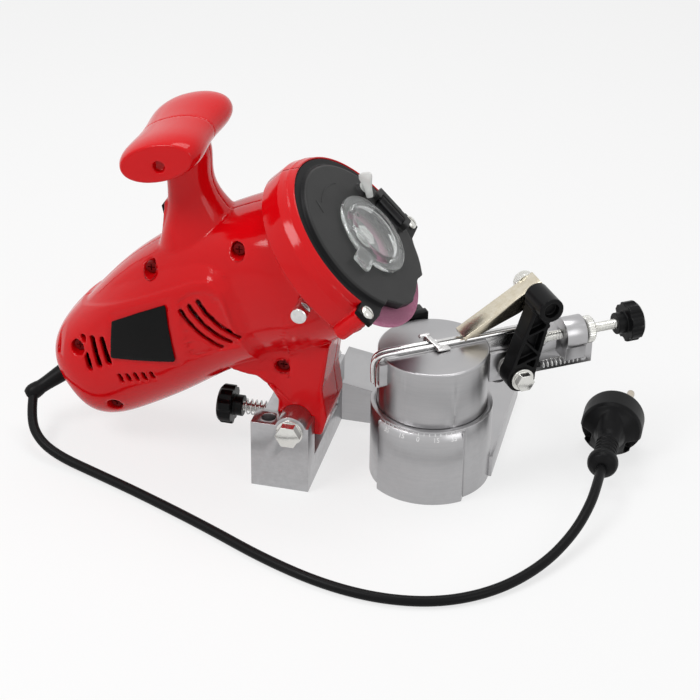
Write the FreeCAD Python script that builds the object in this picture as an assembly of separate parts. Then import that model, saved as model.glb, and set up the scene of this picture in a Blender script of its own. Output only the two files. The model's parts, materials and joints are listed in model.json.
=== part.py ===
"""Electric chain grinder: a tilting motor head over a casting with a swivelling chain vise.

Millimetres. The origin is where the vise's swivel axis meets the bench, +X runs from the head's
pivot to the vise, +Y runs away from the operator and +Z is up. The head stands at its raised stop.
"""
import FreeCAD, Part
import math
import os

V = FreeCAD.Vector
X = V(1, 0, 0)
Y = V(0, 1, 0)
Z = V(0, 0, 1)

# Running clearances and gaps
RUN = 0.05
GAP = 0.3
FIT = 0.1

# Grinding wheel and spindle
WHEEL_R = 54.0
WHEEL_T = 3.2
WHEEL_BORE_R = 11.0
FLANGE_R = 16.0
INNER_FLANGE_T = 5.4
OUTER_FLANGE_T = 2.6
SPINDLE_R = 5.0
THREAD_R = 4.0
NUT_AF = 13.0
NUT_H = 5.5
HEAD_TILT = 44.0
WHEEL_X = -50.0
WHEEL_Z = 145.0

# Motor, placed along the spindle behind the wheel
LOCK_COLLAR_R = 12.0
LOCK_COLLAR_T = 9.0
LOCK_A = -20.5
LOCK_R = 4.5
FRONT_BEARING_R = 13.0
FRONT_BEARING_T = 8.0
FRONT_BEARING_A = -35.5
REAR_BEARING_R = 11.0
REAR_BEARING_T = 7.0
REAR_BEARING_A = -104.0
REAR_JOURNAL_R = 3.5
ROTOR_R = 13.0
ROTOR_A = -79.0
ROTOR_T = 30.0
AIR_GAP = 0.5
STATOR_R = 20.5
COIL_T = 3.0
FAN_R = 18.5
FAN_A = -44.5
FAN_T = 7.0
FAN_BLADES = 9
COMMUTATOR_R = 9.0
COMMUTATOR_A = -94.5
COMMUTATOR_T = 9.0
BRUSH_W = 5.0
BRUSH_T = 4.0
BRUSH_SINK = 2.0

# Wheel chamber and guard
CHAMBER_R = 56.0
CHAMBER_WALL = 2.2
CHAMBER_BACK = -10.0
RING_BACK = -21.0
RING_BACK_R = 45.0
RING_FRONT = 8.5
RING_LIP = 2.6
RING_END = -21.0
COVER_T = 3.0
COVER_RISE = 2.6
COVER_FACE_R = 47.0
WINDOW_R = 25.5
WINDOW_Y = 4.5
WINDOW_V = -3.0
WINDOW_T = 2.0
WINDOW_DOME = 5.0
WINDOW_DOME_R = 20.0
HINGE_Y = 38.5
HINGE_A = RING_FRONT + COVER_RISE + 2.6
HINGE_PIN_R = 1.3
EAR_Y = 55.5
EAR_V = -23.0
FLAG_Y = 33.0
FLAG_V = 15.5
FLAG_R = 2.0
FLAG_HALF = 5.5
GUARD_SCREW_A = -2.0

# Housing shells
WALL = 3.0
BODY_TILT = 35.0
BODY_X = -217.0
BODY_Z = 37.0
PANEL_RISE = 1.4
HANDLE_X = -153.0
HANDLE_Z = 201.0
HANDLE_L = 77.0
HANDLE_W = 46.0
HANDLE_H = 23.0
HANDLE_TILT = 18.0
SWITCH_X = -159.0
SWITCH_Z = 149.0
SWITCH_H = 22.0
SWITCH_W = 13.0
ROCKER_A = 0.3
TRUNNION_R = 1.0
TRUNNION_L = 1.0
SCREW_R = 1.75
SCREW_HEAD_R = 3.4
SCREW_RECESS_R = 4.6
SCREW_SINK = 7.0
HOUSING_SCREWS = ((-164, 126), (-108, 150), (-209, 70), (-188, 33), (-84, 74))

# Body sections: distance along its axis, offset up, half height, half width
BODY_SECTIONS = (
    (0.0, 0.0, 24.5, 25.0),
    (5.0, 0.4, 29.0, 29.5),
    (32.0, 2.0, 37.5, 35.0),
    (66.0, 5.0, 42.4, 38.5),
    (100.0, 6.0, 44.0, 40.5),
    (135.0, 1.0, 46.0, 42.5),
    (162.0, -4.0, 46.5, 44.5),
    (186.0, -10.0, 44.0, 44.0),
)

# Neck sections: height, middle, half depth, half width
NECK_SECTIONS = (
    (HANDLE_Z, HANDLE_X + 4.0, 12.5, 13.0),
    (180.0, -146.0, 13.2, 13.8),
    (167.0, -143.5, 15.0, 15.2),
    (156.0, -139.5, 20.0, 18.5),
    (142.0, -134.5, 28.0, 25.0),
    (116.0, -130.0, 36.0, 31.0),
)

# Leg outline from under the body, down its arched left edge, round the pivot and up its right edge
LEG_OUTLINE = ((-126, 80), (-114, 68), (-106, 66.3), (-99.5, 66), (-94.3, 62.2), (-90, 57.3), (-86.4, 51.6), (-87, 41),
               (-75, 30), (-60, 31), (-57, 42), (-60, 62), (-56, 92))

# Pivot fork and base casting
PIVOT_X = -75.0
PIVOT_Z = 41.0
PIVOT_R = 4.0
PIVOT_AF = 13.0
BUSH_R = 6.5
FOOT_R = 12.0
FOOT_FRONT = -28.7
FOOT_REAR = 13.0
FORK_LEFT = -99.0
FORK_RIGHT = -64.0
FORK_IN = 29.0
FORK_OUT = 44.0
FORK_TOP = 44.0
FORK_FLOOR = 17.0
FORK_WALL = 8.0
SADDLE_R = 9.5
BENCH_HOLE_R = 4.35
BENCH_HOLE_X = -90.0
BENCH_HOLE_Y = -36.5
FOOT_HOLE_X = 25.0
FOOT_HOLE_Y = 88.0
PLATE_FRONT = 38.0
PLATE_BACK = 80.0
PLATE_TOP = 28.0
FOOT_T = 14.0
FOOT_BACK = 102.0
FOOT_RIGHT = 38.0

# Swivel collar and turntable
COLLAR_R = 36.2
COLLAR_TOP = 48.8
COLLAR_FLOOR = 8.0
PAD_R = 39.4
PAD_TOP = 47.5
PAD_HALF = 25.6
DRUM_R = 32.7
DRUM_TOP = 85.3
TABLE_ANGLE = 35.0
SWIVEL_BOLT_R = 4.0
SWIVEL_BOLT_TOP = 29.0
SWIVEL_HEAD_R = 9.5
SWIVEL_HEAD_T = 4.0
ARM_Q = 5.0
ARM_END = 102.0
ARM_LOW = 57.0
ARM_TOP = 74.0
JAW_T = 2.2
JAW_GAP = 1.7
JAW_TOP = 87.5
JAW_LOW = 66.0
JAW_LEFT = -37.0
JAW_RIGHT = 60.0
CLAMP_RODS = (-3.0, 7.0)
CLAMP_R = 2.0
CLAMP_Z = 76.0
CLAMP_HUB_Z = 82.0
CLAMP_HUB_Q = 43.5
CLAMP_PIN_R = 1.5

# Chain stop, seen along the vise
STOP_S = 48.0
STOP_Z = 65.0
STOP_Q = -8.4
STOP_T = 12.0
STOP_TOP_S = 61.0
STOP_TOP_Z = 112.0
STOP_BOSS_R = 9.0
STOP_TUBE_R = 7.5
STOP_TUBE_END = -28.0
STOP_BOLT_R = 3.0
PAWL_W = 12.4
PAWL_L = 49.0
PAWL_T = 1.5
PAWL_WEB = 3.4
PAWL_DROP = 31.0
PAWL_PIN_R = 3.0
ROD_R = 3.0
ROD_Q = -12.5
ROD_Z = 85.0
ROD_END = 121.0
LUG_LEFT = 76.0
LUG_RIGHT = 89.0
LUG_R = 10.0
KNOB_R = 12.0
KNOB_L = 9.0
KNOB_LOBES = 8
HUB_L = 6.0
KNOB_BORE = 9.0
LOCKNUT_R = 8.2
LOCKNUT_T = 5.0
LOCKNUT_S = LUG_RIGHT + 2.0

# Depth stop
DEPTH_Z = 25.0
DEPTH_TIP = -90.3
DEPTH_KNOB_X = -131.0
DEPTH_SPRING_R = 4.6

# Springs
SPRING_WIRE = 0.9

# Mains cord
CORD_R = 3.0
SLEEVE_R = 6.2
SLEEVE_END_R = 4.2
SLEEVE_BALL_R = 5.2
SLEEVE_ROOT = 14.0
SLEEVE_START = V(-213, 4, 46)
SLEEVE_END = V(-245.0, -18.9, 25.9)
CORD_EXIT = V(0.197, -0.852, -0.485)
CORD_OUT = 4.0
PLUG_X = 103.5
PLUG_Y = -3.0
PLUG_R = 18.7
PIN_R = 2.4
PIN_L = 19.0
PIN_PITCH = 19.0
PIN_ROLL = 40.0
PLUG_Z = 19.0
PLUG_L = 60.0
CORD_POINTS = (
    SLEEVE_END + CORD_EXIT * CORD_OUT,
    V(-241.1, -35.5, 16.5),
    V(-231.6, -46.8, 10.2),
    V(-216.6, -53.5, 5.5),
    V(-192.4, -61.5, 3.7),
    V(-160.0, -74.0, CORD_R + 0.05),
    V(-112.0, -96.0, CORD_R + 0.05),
    V(-70.3, -117.5, CORD_R + 0.05),
    V(-31.2, -132.0, CORD_R + 0.05),
    V(4.1, -136.3, CORD_R + 0.05),
    V(36.0, -130.0, CORD_R + 0.05),
    V(63.0, -112.0, 3.3),
    V(83.5, -86.0, 5.5),
    V(96.0, -59.0, 10.0),
    V(102.0, -36.0, 15.5),
    V(PLUG_X, -17.0, PLUG_Z),
    V(PLUG_X, PLUG_Y, PLUG_Z),
)

head_place = FreeCAD.Placement(V(WHEEL_X, 0, WHEEL_Z), FreeCAD.Rotation(Y, -HEAD_TILT))
table_place = FreeCAD.Placement(V(0, 0, 0), FreeCAD.Rotation(Z, TABLE_ANGLE))


def save(name, shape):
    """Write one node."""
    shape.exportStep("parts/" + name + ".step")
    print(name, "solids", len(shape.Solids), "valid", shape.isValid(), "mm3", round(shape.Volume))


def box(x0, x1, y0, y1, z0, z1):
    """Box between two corners."""
    return Part.makeBox(x1 - x0, y1 - y0, z1 - z0, V(x0, y0, z0))


def cyl(radius, start, end):
    """Round bar from one point to another."""
    return Part.makeCylinder(radius, (end - start).Length, start, end - start)


def cone(r0, r1, start, end):
    """Tapered bar from one point to another."""
    return Part.makeCone(r0, r1, (end - start).Length, start, end - start)


def tube(r_out, r_in, start, end):
    """Ring or sleeve between two points."""
    reach = (end - start).normalize() * 1.0
    return cyl(r_out, start, end).cut(cyl(r_in, start - reach, end + reach))


def prism(points, direction):
    """Flat outline pushed along a direction."""
    wire = Part.makePolygon(list(points) + [points[0]])
    return Part.Face(wire).extrude(direction)


def hexagon(across_flats, start, end, turn=0.0):
    """Hexagonal bar from one point to another."""
    axis = (end - start)
    radius = across_flats / math.sqrt(3)
    points = []
    for i in range(6):
        angle = math.radians(60 * i + turn)
        points.append(V(radius * math.cos(angle), radius * math.sin(angle), 0))
    bar = prism(points, V(0, 0, axis.Length))
    bar.Placement = FreeCAD.Placement(start, FreeCAD.Rotation(Z, axis))
    return bar


def fused(shapes):
    """One solid from overlapping shapes."""
    return shapes[0].multiFuse(shapes[1:]).removeSplitter()


def joined(shapes):
    """One solid from free-form shapes, added one at a time."""
    whole = shapes[0]
    for shape in shapes[1:]:
        whole = whole.fuse(shape)
    return whole


def revolve(points, origin, axis):
    """Ring of a profile drawn as (along, out) pairs about an axis."""
    profile = [V(out, 0, along) for along, out in points]
    wire = Part.makePolygon(profile + [profile[0]])
    solid = Part.Face(wire).revolve(V(0, 0, 0), Z, 360)
    solid.Placement = FreeCAD.Placement(origin, FreeCAD.Rotation(Z, axis))
    return solid


def oval_wire(centre, e1, e2, half1, half2, power=2.4, count=16):
    """Closed smooth oval about a centre, squarer as the power grows."""
    points = []
    for i in range(count):
        t = 2 * math.pi * i / count
        c = math.cos(t)
        s = math.sin(t)
        a = math.copysign(abs(c) ** (2 / power), c) * half1
        b = math.copysign(abs(s) ** (2 / power), s) * half2
        points.append(centre + e1 * a + e2 * b)
    curve = Part.BSplineCurve()
    curve.interpolate(points, PeriodicFlag=True)
    return Part.Wire([curve.toShape()])


def on_head(shape):
    """Put a shape drawn about the wheel centre, spindle along X, onto the tilted head."""
    moved = shape.copy()
    moved.Placement = head_place.multiply(moved.Placement)
    return moved


def on_table(shape):
    """Turn a shape drawn with the vise along X to the set angle."""
    moved = shape.copy()
    moved.Placement = table_place.multiply(moved.Placement)
    return moved


def along(a, y=0.0, v=0.0):
    """Point in the head's own frame."""
    return V(a, y, v)


def coil_wire(radius, pitch, turns, base, axis, lead):
    """Helix of quarter-turn arcs with a straight lead at each end, as points and a wire."""
    turn = FreeCAD.Placement(base, FreeCAD.Rotation(Z, axis))
    points = []
    steps = int(turns * 4)
    for i in range(steps + 1):
        t = math.pi * i / 2
        points.append(turn.multVec(V(radius * math.cos(t), radius * math.sin(t), pitch * i / 4)))
    edges = []
    for i in range(steps):
        t = math.pi * (i + 0.5) / 2
        mid = turn.multVec(V(radius * math.cos(t), radius * math.sin(t), pitch * (i + 0.5) / 4))
        edges.append(Part.Arc(points[i], mid, points[i + 1]).toShape())
    first = edges[0].tangentAt(edges[0].FirstParameter)
    last = edges[-1].tangentAt(edges[-1].LastParameter)
    edges.insert(0, Part.makeLine(points[0] - first * lead, points[0]))
    edges.append(Part.makeLine(points[-1], points[-1] + last * lead))
    return points, Part.Wire(edges), first


def coil(radius, pitch, turns, base, axis, wire_d, lead):
    """Spring as one unbroken tube; prints the least gap between its turns."""
    points, path, first = coil_wire(radius, pitch, turns, base, axis, lead)
    start = points[0] - first * lead
    section = Part.Wire([Part.makeCircle(wire_d / 2, start, first)])
    solid = path.makePipeShell([section], True, False)
    least = min((p - q).Length for i, p in enumerate(points) for q in points[i + 3:]) - wire_d
    print("spring self gap", round(least, 2))
    return solid


# Head housing

def body_solid(grow, first=0, trim=0.0):
    """Motor body as a loft along its own tilted axis, grown or shrunk all round."""
    tilt = math.radians(BODY_TILT)
    run = V(math.cos(tilt), 0, math.sin(tilt))
    rise = V(-math.sin(tilt), 0, math.cos(tilt))
    wires = []
    for i, (s, e, half_h, half_w) in enumerate(BODY_SECTIONS[first:]):
        shift = trim if i == 0 else 0.0
        centre = V(BODY_X, 0, BODY_Z) + run * (s + shift) + rise * e
        wires.append(oval_wire(centre, Y, rise, half_w + grow, half_h + grow))
    return Part.makeLoft(wires, True, False)


def neck_solid(grow):
    """Stalk between the body and the cross handle."""
    wires = []
    for z, x, half_x, half_y in NECK_SECTIONS:
        wires.append(oval_wire(V(x, 0, z), X, Y, half_x + grow, half_y + grow))
    return Part.makeLoft(wires, True, False)


def handle_solid(grow):
    """Cross bar of the T handle, an oval that fills out towards its middle."""
    tilt = math.radians(HANDLE_TILT)
    wide = V(math.cos(tilt), 0, math.sin(tilt))
    tall = V(-math.sin(tilt), 0, math.cos(tilt))
    wires = []
    for share, fill in ((-1.0, 0.94), (-0.95, 0.99), (0.0, 1.02), (0.95, 0.99), (1.0, 0.94)):
        centre = V(HANDLE_X, share * (HANDLE_L / 2 + grow), HANDLE_Z)
        half_w = HANDLE_W / 2 * fill + grow
        half_h = HANDLE_H / 2 * fill + grow
        wires.append(oval_wire(centre, wide, tall, half_w, half_h, 2.1))
    return Part.makeLoft(wires, True, False)


def ring_solid():
    """Wheel chamber's drum, tapering into the body behind it."""
    outer = CHAMBER_R + CHAMBER_WALL
    profile = [(RING_BACK - 14, 0), (RING_BACK - 14, RING_BACK_R - 8), (RING_BACK, RING_BACK_R)]
    profile += [(CHAMBER_BACK - 3, outer - 1.5), (CHAMBER_BACK + 1, outer), (RING_FRONT, outer)]
    profile += [(RING_FRONT, 0)]
    drum = revolve(profile, along(0), X)
    mouth = box(RING_BACK - 20, 40, -90, 90, -90, RING_END)
    return on_head(drum.cut(mouth))


def foot_solid():
    """Leg from the body down to the pivot, with the lobe that meets the depth stop."""
    front = FOOT_FRONT
    width = FOOT_REAR - FOOT_FRONT
    leg = prism([V(x, front, z) for x, z in LEG_OUTLINE], Y * width)
    barrel = cyl(FOOT_R, V(PIVOT_X, front, PIVOT_Z), V(PIVOT_X, FOOT_REAR, PIVOT_Z))
    lobe = box(PIVOT_X - 9, PIVOT_X + 7, -9, 9, DEPTH_Z - 4, PIVOT_Z)
    return fused([leg, barrel, lobe])


def side_panel():
    """Lower half of the body's flanks, standing proud of the upper half."""
    front = -80
    outline = [V(-236, front, 74), V(-215, front, 88), V(-134, front, 129), V(-124, front, 132)]
    outline += [V(-116, front, 126), V(-94, front, 70), V(-100, front, 30), V(-205, front, -10)]
    outline += [V(-245, front, 20)]
    return body_solid(PANEL_RISE).common(prism(outline, Y * 160))


def vent_cutters():
    """Curved vents by the fan, slanted slots at the rear end and small slits under the plate."""
    cutters = []
    for i in range(3):
        slot = box(-17, 17, -70, 70, -1.6, 1.6)
        place = FreeCAD.Placement(V(-129 + 5.5 * i, 0, 100 + 4.2 * i), FreeCAD.Rotation(Y, 42))
        slot.Placement = place
        cutters.append(slot)
    for i in range(3):
        slot = box(-1.7, 1.7, -70, 70, -11 + i, 11 - i)
        slot.Placement = FreeCAD.Placement(V(-203 + 6.5 * i, 0, 68 + 2.5 * i), FreeCAD.Rotation(Y, -16))
        cutters.append(slot)
    for i in range(5):
        slot = box(-1.1, 1.1, -70, 70, -3.5, 3.5)
        slot.Placement = FreeCAD.Placement(V(-181 + 5 * i, 0, 56 + 1.4 * i), FreeCAD.Rotation(Y, -20))
        cutters.append(slot)
    return cutters


def spindle_bores():
    """Spaces for the wheel, motor, bearings and lock pin, in the head's own frame."""
    lip = CHAMBER_R - RING_LIP
    bores = [cyl(CHAMBER_R, along(CHAMBER_BACK), along(RING_FRONT - COVER_T))]
    bores.append(cyl(lip + FIT, along(CHAMBER_BACK), along(40)))
    bores.append(cyl(LOCK_COLLAR_R + 2, along(FRONT_BEARING_A + FRONT_BEARING_T), along(0)))
    bores.append(cyl(FRONT_BEARING_R, along(FRONT_BEARING_A), along(0)))
    bores.append(cyl(STATOR_R, along(COMMUTATOR_A - 1.5), along(FRONT_BEARING_A - 1.5)))
    bores.append(cyl(SPINDLE_R + 1, along(FRONT_BEARING_A - 3), along(FRONT_BEARING_A + 1)))
    bores.append(cyl(REAR_BEARING_R, along(REAR_BEARING_A), along(COMMUTATOR_A)))
    bores.append(cyl(LOCK_R + RUN, along(LOCK_A, -80), along(LOCK_A)))
    rebate = Part.Face(cover_outline(FIT)).extrude(along(40))
    rebate.translate(along(RING_FRONT - COVER_T))
    bores.append(rebate)
    for side in (-1, 1):
        y = side * EAR_Y
        bores.append(cyl(SCREW_R, along(GUARD_SCREW_A, y, EAR_V), along(40, y, EAR_V)))
        bores.append(brush_shape(side))
    return bores


def bearing_block():
    """Inner walls that carry the bearings and the motor's stack."""
    front = cyl(STATOR_R + 2, along(FRONT_BEARING_A - 1.5), along(CHAMBER_BACK - 1))
    middle = tube(STATOR_R + 3, STATOR_R, along(COMMUTATOR_A), along(FRONT_BEARING_A))
    rear = cyl(STATOR_R + 3, along(REAR_BEARING_A - 3), along(COMMUTATOR_A - 1.5))
    boss = cyl(8.5, along(LOCK_A, -45), along(LOCK_A, -14))
    return [front, middle, rear, boss]


def outer_skin():
    """Outside form of the whole head, open below the wheel and with a boss for each guard screw."""
    body = joined([body_solid(0.0), side_panel(), neck_solid(0.0), handle_solid(0.0)])
    skin = joined([body, ring_solid(), foot_solid()])
    skin = skin.cut(on_head(box(RING_BACK - 3, 40, -90, 90, -90, RING_END)))
    for side in (-1, 1):
        y = side * EAR_Y
        boss = cyl(5.0, along(CHAMBER_BACK - 3, y, EAR_V), along(RING_FRONT - COVER_T, y, EAR_V))
        skin = skin.fuse(on_head(boss))
    return skin


def flank_depth(skin, x, z):
    """Distance of the outside surface from the mid plane, straight out from a point on it."""
    line = Part.makeLine(V(x, -100, z), V(x, 0, z))
    return -min(vertex.Y for vertex in skin.common(line).Vertexes)


def housing(skin):
    """Both moulded shells: outer form, hollowed, bored and split on the mid plane."""
    hollow = joined([body_solid(-WALL, 1), neck_solid(-WALL)])
    hollow = hollow.cut(on_head(cyl(CHAMBER_R + 4, along(RING_BACK - 3), along(20))))
    hollow = hollow.cut(foot_solid())
    hollow = hollow.fuse(handle_solid(-WALL))
    shell = skin.cut(hollow)
    inside = skin.common(on_head(fused(bearing_block())))
    shell = shell.fuse(inside)
    for bore in spindle_bores():
        shell = shell.cut(on_head(bore))
    for cutter in vent_cutters():
        shell = shell.cut(cutter)
    shell = shell.cut(cyl(BUSH_R, V(PIVOT_X, -60, PIVOT_Z), V(PIVOT_X, 60, PIVOT_Z)))
    shell = shell.cut(switch_body(FIT, 14.0))
    shell = shell.cut(cyl(SLEEVE_R, SLEEVE_START, SLEEVE_END))
    return shell


def screw_cuts(x, z, depth):
    """Post that a housing screw clamps, and the recess and hole cut through it."""
    post = cyl(SCREW_RECESS_R + 1.6, V(x, -90, z), V(x, depth, z))
    hole = cyl(SCREW_R + FIT, V(x, -depth, z), V(x, depth - SCREW_SINK, z))
    recess = cyl(SCREW_RECESS_R, V(x, -90, z), V(x, SCREW_SINK - depth, z))
    return post, hole, recess


def housing_screw(x, z, depth):
    """Pan-head screw from the front shell into the rear one."""
    seat = SCREW_SINK - depth
    head = cyl(SCREW_HEAD_R, V(x, seat - 2.4, z), V(x, seat, z))
    cross = box(x - 2.2, x + 2.2, seat - 2.5, seat - 1.2, z - 0.4, z + 0.4)
    cross = cross.fuse(box(x - 0.4, x + 0.4, seat - 2.5, seat - 1.2, z - 2.2, z + 2.2))
    shank = cyl(SCREW_R, V(x, seat, z), V(x, depth - SCREW_SINK - 1, z))
    return head.cut(cross).fuse(shank)


def build_housing():
    """Front and rear shells with their screws."""
    skin = outer_skin()
    shell = housing(skin)
    screws = [(x, z, flank_depth(skin, x, z)) for x, z in HOUSING_SCREWS]
    for x, z, depth in screws:
        post, hole, recess = screw_cuts(x, z, depth)
        shell = shell.fuse(post.common(skin))
        shell = shell.cut(recess)
        shell = shell.cut(hole)
    front = shell.common(box(-400, 200, -100, 0, -50, 400))
    rear = shell.common(box(-400, 200, 0, 100, -50, 400))
    save("housing_front", largest(front))
    save("housing_rear", largest(rear))
    for i, (x, z, depth) in enumerate(screws):
        print("screw depth", round(depth, 1))
        save("housing_screw_" + str(i + 1), housing_screw(x, z, depth))


def largest(shape):
    """Main solid of a cut shape, free of slivers."""
    return max(shape.Solids, key=lambda solid: solid.Volume)


def switch_body(grow, out=2.0):
    """Rocker switch case let into the rear of the neck, or its recess, as far out as asked."""
    wide = SWITCH_W / 2 + grow
    tall = SWITCH_H / 2 + grow
    case = box(-out, 13 + grow, -wide, wide, -tall, tall)
    case.Placement = FreeCAD.Placement(V(SWITCH_X, 0, SWITCH_Z), FreeCAD.Rotation(Y, 6))
    return case


def build_switch():
    """Switch case and its rocker."""
    place = FreeCAD.Placement(V(SWITCH_X, 0, SWITCH_Z), FreeCAD.Rotation(Y, 6))
    wide = SWITCH_W / 2 - 1.5
    tall = SWITCH_H / 2 - 1.5
    pocket = box(-4, 5, -wide, wide, -tall, tall)
    reach = wide + TRUNNION_L
    seat = cyl(TRUNNION_R + RUN, V(ROCKER_A, -reach - FIT, 0), V(ROCKER_A, reach + FIT, 0))
    pocket = pocket.fuse(seat)
    pocket.Placement = place
    save("switch_case", switch_body(0.0).cut(pocket))
    half = tall - 1.1
    side = GAP - wide
    outline = [V(-4.2, side, half), V(-1.6, side, 0), V(-1.6, side, -half), V(2.2, side, 1.5 - half),
               V(2.2, side, half - 1.5)]
    rocker = prism(outline, Y * (-2 * side))
    rocker = rocker.fuse(cyl(TRUNNION_R, V(ROCKER_A, -reach, 0), V(ROCKER_A, reach, 0)))
    rocker.Placement = place
    save("switch_rocker", rocker)


def build_plate():
    """Bare rating plate, curved to the flank."""
    outline = [V(-185, -80, 95), V(-150, -80, 113), V(-145, -80, 75), V(-186, -80, 70)]
    window = prism(outline, Y * 80)
    band = body_solid(PANEL_RISE + 0.8).common(window)
    save("rating_plate", largest(band.cut(body_solid(PANEL_RISE + RUN))))


# Guard

def cover_outline(grow):
    """Outline of the guard cover: round above, two screw ears and a stepped lower lip."""
    r = CHAMBER_R - RING_LIP + grow
    ear = 60.5 + grow
    top = Part.Arc(along(0, r, -6), along(0, 0, r), along(0, -r, -6))
    edges = [top.toShape()]
    corners = [(-r, -6), (-ear, -16), (-ear, -29), (-46, -31), (-33, -30), (-23, -40), (-12, -45), (0, -44),
               (11, -42), (24, -45), (45, -29), (ear, -29), (ear, -16), (r, -6)]
    points = [along(0, y, v) for y, v in corners]
    edges.append(Part.makePolygon(points))
    wire_edges = [edges[0]] + edges[1].Edges
    return Part.Wire(Part.__sortEdges__(wire_edges))


def cover_shape():
    """Guard cover with its raised face, window opening, hinge block and screw holes."""
    face = RING_FRONT + COVER_RISE
    plate = Part.Face(cover_outline(0.0)).extrude(along(COVER_T))
    plate.translate(along(RING_FRONT - COVER_T))
    rise = cone(COVER_FACE_R + 2.5, COVER_FACE_R, along(RING_FRONT - 0.5), along(face))
    rise = rise.common(Part.Face(cover_outline(-4.0)).extrude(along(30)))
    hinge = box(RING_FRONT, face + 5, HINGE_Y - 2.5, HINGE_Y + 6.5, -20, 7)
    post = cyl(4.2, along(RING_FRONT, FLAG_Y, FLAG_V), along(face + 2, FLAG_Y, FLAG_V))
    cover = fused([plate, rise, hinge, post])
    cover = cover.cut(cyl(WINDOW_DOME_R - 1, along(0, WINDOW_Y, WINDOW_V), along(40, WINDOW_Y, WINDOW_V)))
    cover = cover.cut(box(face, 40, HINGE_Y - 6.5, HINGE_Y + 2.5, -16, 4))
    cover = cover.cut(cyl(HINGE_PIN_R, along(HINGE_A, HINGE_Y, -40), along(HINGE_A, HINGE_Y, 40)))
    cover = cover.cut(cyl(FLAG_R + RUN, along(0, FLAG_Y, FLAG_V), along(30, FLAG_Y, FLAG_V)))
    for side in (-1, 1):
        y = side * EAR_Y
        cover = cover.cut(cyl(SCREW_R + FIT, along(0, y, EAR_V), along(40, y, EAR_V)))
    return cover


def guard_screw(y):
    """Slotted screw that holds one ear of the guard cover."""
    head = cyl(4.2, along(RING_FRONT, y, EAR_V), along(RING_FRONT + 2.6, y, EAR_V))
    shank = cyl(SCREW_R, along(GUARD_SCREW_A, y, EAR_V), along(RING_FRONT, y, EAR_V))
    slot = box(RING_FRONT + 1.6, 40, y - 5, y + 5, EAR_V - 0.5, EAR_V + 0.5)
    return head.fuse(shank).cut(slot)


def window_shape():
    """Clear domed window with a lifting tab and a hinge knuckle."""
    low = RING_FRONT + COVER_RISE + GAP
    foot = along(low, WINDOW_Y, WINDOW_V)
    flange = cyl(WINDOW_R, foot, foot + X * WINDOW_T)
    tab = box(low, low + WINDOW_T, -26, 0, -13, 1)
    tab = tab.makeFillet(4, [e for e in tab.Edges if e.BoundBox.XLength > 1 and e.BoundBox.YMin < -20])
    ear = box(low, low + WINDOW_T, 20, HINGE_Y, -15.5, 3.5)
    knuckle = cyl(2.3, along(HINGE_A, HINGE_Y, -15.5), along(HINGE_A, HINGE_Y, 3.5))
    dome = cone(WINDOW_DOME_R, WINDOW_DOME_R - 2, foot, foot + X * WINDOW_DOME)
    inner = cone(WINDOW_DOME_R - 1.8, WINDOW_DOME_R - 3.8, foot - X, foot + X * (WINDOW_DOME - 1.8))
    window = fused([flange, tab, ear, knuckle, dome]).cut(inner)
    return window.cut(cyl(HINGE_PIN_R + RUN, along(HINGE_A, HINGE_Y, -40), along(HINGE_A, HINGE_Y, 40)))


def flag_screw():
    """Turning screw with a flat grip blade, beside the window."""
    seat = RING_FRONT + COVER_RISE + 2 + GAP
    stem = cyl(FLAG_R, along(RING_FRONT - 2, FLAG_Y, FLAG_V), along(seat, FLAG_Y, FLAG_V))
    collar = cyl(3.6, along(seat, FLAG_Y, FLAG_V), along(seat + 2, FLAG_Y, FLAG_V))
    blade = box(seat + 1.5, seat + 7, FLAG_Y - FLAG_HALF, FLAG_Y + FLAG_HALF, FLAG_V - 0.9, FLAG_V + 0.9)
    blade.rotate(along(seat, FLAG_Y, FLAG_V), X, 25)
    return fused([stem, collar, blade])


def build_guard():
    """Guard cover, its screws, and the hinged clear window with its flag screw."""
    save("guard_cover", on_head(cover_shape()))
    for i, side in enumerate((-1, 1)):
        save("guard_screw_" + str(i + 1), on_head(guard_screw(side * EAR_Y)))
    save("guard_window", on_head(window_shape()))
    pin = cyl(HINGE_PIN_R, along(HINGE_A, HINGE_Y, -20), along(HINGE_A, HINGE_Y, 7))
    save("window_hinge_pin", on_head(pin))
    save("window_flag_screw", on_head(flag_screw()))


# Spindle and motor

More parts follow.
